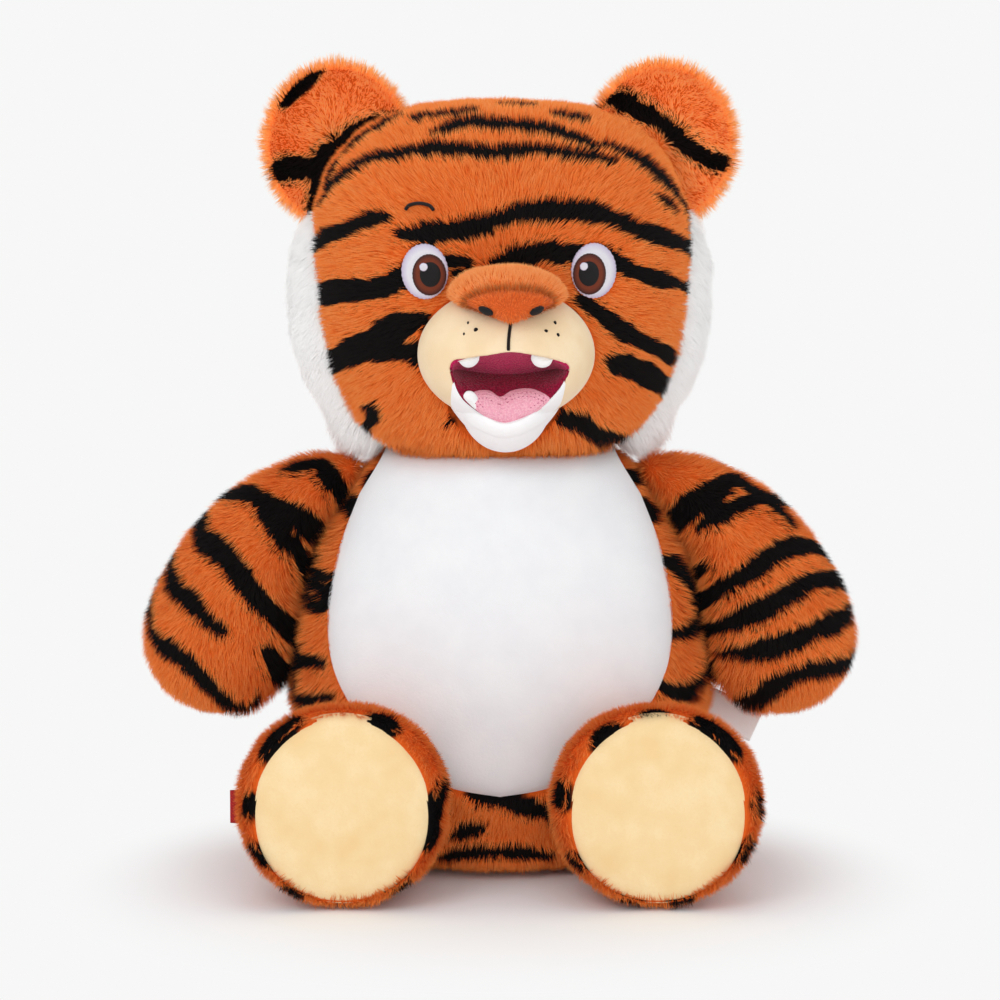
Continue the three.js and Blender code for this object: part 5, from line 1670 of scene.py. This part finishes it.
for name, side in SIDES.items():
    x = side * 39.0 - 0.1
    sclera = ellipse(side * EYE_X, EYE_Z, *EYE_WHITE, 192, 0.012)
    iris = ellipse(x, 92.9, 8.2, 10.0, 160, 0.01)
    pupil = ellipse(x + side * -0.4, 93.1, 5.1, 6.1)
    glint = ellipse(x - 2.8, 96.7, 2.0, 2.0, 24, 0.03)
    stitched("sclera_" + name, sclera, -0.4, 5.0, WHITE_THREAD, "eye_white_" + name, "white_thread", 1.0)
    stitched("iris_" + name, iris, 0.2, 0.5, BROWN_THREAD, "eye_iris_" + name, "brown_thread")
    stitched("pupil_" + name, pupil, 0.65, 0.4, BLACK_THREAD, "eye_pupil_" + name, "black_thread")
    stitched("glint_" + name, glint, 1.05, 0.4, WHITE_THREAD, "eye_highlight_" + name, "white_thread")


def tube(points, radius, sides=10, taper=3):
    """A closed round thread along points."""
    line = smooth_rows(points, (len(points) - 1) * 8)
    along = unit(np.gradient(line, axis=0))
    side = unit(np.cross(along, [0, 1.0, 0]))
    over = np.cross(side, along)
    ends = np.minimum(np.arange(len(line)), np.arange(len(line))[::-1]) / taper
    wide = radius * np.sqrt(np.clip(1 - (1 - np.clip(ends, 0, 1)) ** 2, 0, 1))
    angle = round_angles(sides)
    ring = side[:, None] * np.cos(angle)[None, :, None] + over[:, None] * np.sin(angle)[None, :, None]
    return closed(line[:, None] + ring * wide[:, None, None])


def nostril_front(x, z, inset):
    return np.minimum(ball_front(NOSE, x, z), ball_front(MUZZLE, x, z)) - 0.3 + 0.9 * np.exp(-inset / 0.6)


share = np.linspace(0, 1, 9)
arch_x, arch_z = np.linspace(-50.5, -36.5, 9), 127 - 3.4 * (1 - np.maximum(np.sin(math.pi * share), 0) ** 0.5)
arch = np.stack([arch_x, front_of(HEAD, -0.6, arch_x, arch_z), arch_z], 1)
piece("brow_thread", placed(tube(arch, 0.9)), "head", BLACK_THREAD, ["brow_stitch"], "black_thread")
for name, side in SIDES.items():
    nostril = patch(ellipse(side * 12.2, 79.4, 3.7, 1.9, 48, 0.03, side * 0.42), nostril_front, 8, 2.4)
    face_piece(f"nostril_{name}_thread", nostril, BLACK_THREAD, ["nostril_" + name], "black_thread")
share = np.linspace(0, 1, 8)
seam_x, seam_z = 0.4 - 1.6 * share - 0.5 * np.sin(share * 3), 73.6 - 13.6 * share
seam = np.stack([seam_x, ball_front(MUZZLE, seam_x, seam_z), seam_z], 1)
face_piece("lip_thread", tube(seam, 0.8), BLACK_THREAD, ["lip_stitch"], "black_thread")

MUZZLE_SHELL = tree_of(placed(ellipsoid(*MUZZLE, -0.3), on_face))
dots = []
for x, y, wide, tall in (  # pixels of the picture, and half sizes
    (468, 323, 0.5, 0.9), (476, 330, 1.1, 1.2), (464, 334, 0.5, 0.8),
    (555, 323, 0.8, 1.1), (546, 331, 1.0, 0.8), (558, 335, 0.8, 1.0),
):
    spot = cast(MUZZLE_SHELL, [(EYE, sight(x, y))])[0]
    dots.append(ellipsoid(spot, (wide, 0.5, tall), 0, 12, 8))
piece("whisker_dots", joined(dots), "head", BLACK_THREAD, (), "black_thread")


# ---- mouth ----
def fold_z(x):
    """The height of the fold at the back of the mouth, between its roof and its floor."""
    return 45.2 + 3.2 * (x / 24) ** 2


def mouth_y(x, z, inset=None):
    """The cloth inside the mouth: it runs back from both lips to the fold."""
    top, low, fold = np.interp(x, *UPPER_LIP), np.interp(x, *LOWER_LIP), fold_z(x)
    up = np.clip((z - fold) / np.maximum(top - fold, 1), 0, 1)
    down = np.clip((fold - z) / np.maximum(fold - low, 1), 0, 1)
    depth = np.where(z > fold, 20 * (1 - up) ** 0.8, 20 * (1 - down) ** 2.3)
    side = 1 - np.exp(-np.clip(27.6 - np.abs(x), 0, None) / 3.0)
    return lip_y(z, 1.0 + depth * side)


fold_x = np.linspace(27.8, -27.8, 60)
fold_line = np.stack([fold_x, fold_z(fold_x)], 1)
wide_mouth = grown(MOUTH, 0.9)
high = wide_mouth[:, 1] > fold_z(wide_mouth[:, 0])
above, below = wide_mouth[high], wide_mouth[~high]
above = above[np.argsort(above[:, 0])]
left_part, right_part = below[below[:, 0] < -2.4], below[below[:, 0] >= -2.4]
below = np.vstack([left_part[np.argsort(-left_part[:, 1])], right_part[np.argsort(right_part[:, 1])]])
for name, edge, material, node_name in (
    ("mouth_floor", below, MAROON, "mouth_lining"),
    ("mouth_roof", above, RASPBERRY, "palate"),
):
    lining = patch(evenly(np.vstack([edge, fold_line]), 200), mouth_y, 40, 1.3)
    face_piece(name, lining, material, [node_name], node_name, 0.6)

TONGUE = resampled(
    [[-18.9, 36.4], [-15.6, 38.8], [-9, 38.6], [-4.0, 35.8], [1.5, 38.4], [8.6, 39.6], [14.6, 38.6], [19.6, 35.2],
     [15.6, 30.2], [6.5, 25.2], [-2.4, 22.6], [-11, 26.2], [-17, 31]], 120
)


def tongue_front(x, z, inset):
    groove = 0.5 * np.exp(-(((x + 3.2) / 1.2) ** 2)) * (z > 28)
    return mouth_y(x, z) - 0.4 - 1.5 * (1 - np.exp(-inset / 1.4)) + groove


face_piece("tongue_terry", patch(TONGUE, tongue_front, 30, 1.8), PINK, ["tongue"], "tongue", 0.85)
stitches = []
for row in (1.8, 3.4):
    ring = grown(TONGUE, -row)
    for start, end in zip(ring[::3], np.roll(ring, -1, axis=0)[::3]):
        if start[1] >= 31:
            x, z = np.stack([start, (start + end) / 2, end], 1)
            stitches.append(tube(np.stack([x, tongue_front(x, z, row) - 0.05, z], 1), 0.24, 6, 2))
face_piece("tongue_stitches", joined(stitches), ROSE_THREAD, (), "tongue")

TEETH = {  # the edge that shows, and the root behind a lip
    "tooth_upper_left": (
        [[10.4, 57.6], [10.2, 54.8], [12.2, 51.9], [15.6, 50.8], [18.8, 51.8], [20.4, 54.4], [20.4, 56.6]],
        [[20.4, 58.6], [10.4, 59.6]],
    ),
    "tooth_upper_right": (
        [[-24.6, 56.0], [-24.2, 53.6], [-21.6, 51.4], [-18.2, 51.4], [-15.4, 53.8], [-14.6, 57.2]],
        [[-14.6, 59.2], [-24.6, 58.0]],
    ),
    "tooth_lower": (
        [[-21.6, 35.4], [-22.0, 37.4], [-20.4, 39.2], [-17.8, 39.0], [-15.6, 36.8], [-14.4, 33.4], [-13.6, 30.4]],
        [[-15.0, 29.2], [-18.6, 32.2]],
    ),
}


def tooth_front(x, z, inset):
    return lip_y(z, 0.9) - 1.3 * (1 - np.exp(-inset / 1.2))


for name, (edge, root) in TEETH.items():
    outline = resampled(edge + root, 80)
    if name != "tooth_lower":
        outline[:, 1] = np.minimum(outline[:, 1], np.interp(outline[:, 0], *UPPER_LIP) + 0.7)
    face_piece(name + "_felt", patch(outline, tooth_front, 14, 2.0), FELT, [name], "tooth_felt", 0.8)

# ---- zip ----
ZIP_RISE, ZIP_RUN = 102, 5.4
ZIP_TILT = math.atan2(ZIP_RUN, ZIP_RISE)
ZIP_HALF = math.hypot(ZIP_RUN, ZIP_RISE) / 2
COIL_STEP = 1.25


def at_zip(points):
    """Points of the zip's own frame, whose z runs up the tapes and whose y leaves the back."""
    turn = [[1, 0, 0], [0, math.cos(ZIP_TILT), -math.sin(ZIP_TILT)], [0, math.sin(ZIP_TILT), math.cos(ZIP_TILT)]]
    return points @ np.array(turn).T + [0, 72.7, 101]


def coil_loop(side, level):
    loop = [[2.7, 0.7, 0], [1.6, 1.25, 0], [0.2, 0.7, 0], [0.1, 0.1, 0], [0.7, -0.9, 0], [2.6, -0.5, 0.5]]
    return tube(np.array(loop) * [side, 1, 1] + [0, 0, level], 0.36, 6, 2)


for name, side in SIDES.items():
    z, x = np.meshgrid(np.linspace(0.4 - ZIP_HALF, ZIP_HALF - 0.4, 60), np.linspace(1.4, 10.8, 14), indexing="ij")
    ripple = 0.25 * np.sin(z / 5 + side) * (x / 10.8) ** 2
    tape = slab(*(at_zip(np.stack([side * x, ripple + depth, z], -1)) for depth in (0.55, -0.15)))
    piece(f"zip_tape_{name}_cloth", tape, "torso", ZIP_TAPE, ["zip_tape_" + name], "zip_tape")
    levels = np.arange(1 - ZIP_HALF, ZIP_HALF - 1, COIL_STEP) + (0.62 if side > 0 else 0)
    coil = placed(joined([coil_loop(side, level) for level in levels]), at_zip)
    piece("zip_coil_" + name, coil, "torso", ZIP_COIL, ["zip_tape_" + name], "zip_tape")
for node_name in ("zip_slider", "zip_pull"):
    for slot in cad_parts[node_name].material_slots:
        slot.material = METAL


# ---- labels ----
def ribbon(path, level, half, wave=None, thickness=0.28):
    """A strip of cloth along a path of x and y, standing on its edge about a level."""
    path = smooth_rows(path, 60)
    heights = np.linspace(-half, half, 13)
    way = unit(np.gradient(path, axis=0))
    across = np.stack([-way[:, 1], way[:, 0]], 1)
    sway = wave(path[:, :1], heights[None]) if wave else 0
    faces = []
    for offset in (thickness / 2, -thickness / 2):
        flat = path + across * offset
        grid = np.zeros((len(path), len(heights), 3))
        grid[..., 0] = flat[:, :1]
        grid[..., 1] = flat[:, 1:] + sway
        grid[..., 2] = level + heights
        faces.append(grid)
    return slab(*faces)


points, faces = ribbon(
    [[0, 0.35], [12, 0.75], [24, 0.7], [28.2, 0.5], [28.9, 0], [28.2, -0.5], [24, -0.7], [12, -0.75], [0, -0.35]],
    0, 9, lambda run, height: 0.5 * np.sin(run / 8) * (height / 9) * (run / 29),
)
DROOP = math.radians(24)
label = points.copy()
label[:, 0] = 118.5 + (points[:, 0] - 14.5) * math.cos(DROOP) + points[:, 2] * math.sin(DROOP)
label[:, 2] = 65 - (points[:, 0] - 14.5) * math.sin(DROOP) + points[:, 2] * math.cos(DROOP)
label[:, 1] += 9
made = piece("care_label_cloth", (label, faces), "torso", LABEL, ["care_label"], "label")

low, high = (np.array(list(corner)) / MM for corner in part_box("foot_tag"))
middle = (low + high) / 2
path = [[high[0] + 1.5, 0.9], [middle[0], 1.1], [low[0] + 0.4, 0.7], [low[0] - 0.2, 0]]
path += [[x, -y] for x, y in path[2::-1]]
strip = ribbon([[x, y + middle[1]] for x, y in path], middle[2], 8)
made = piece("foot_ribbon", strip, "leg_right", RED, ["foot_tag"], "red_ribbon")
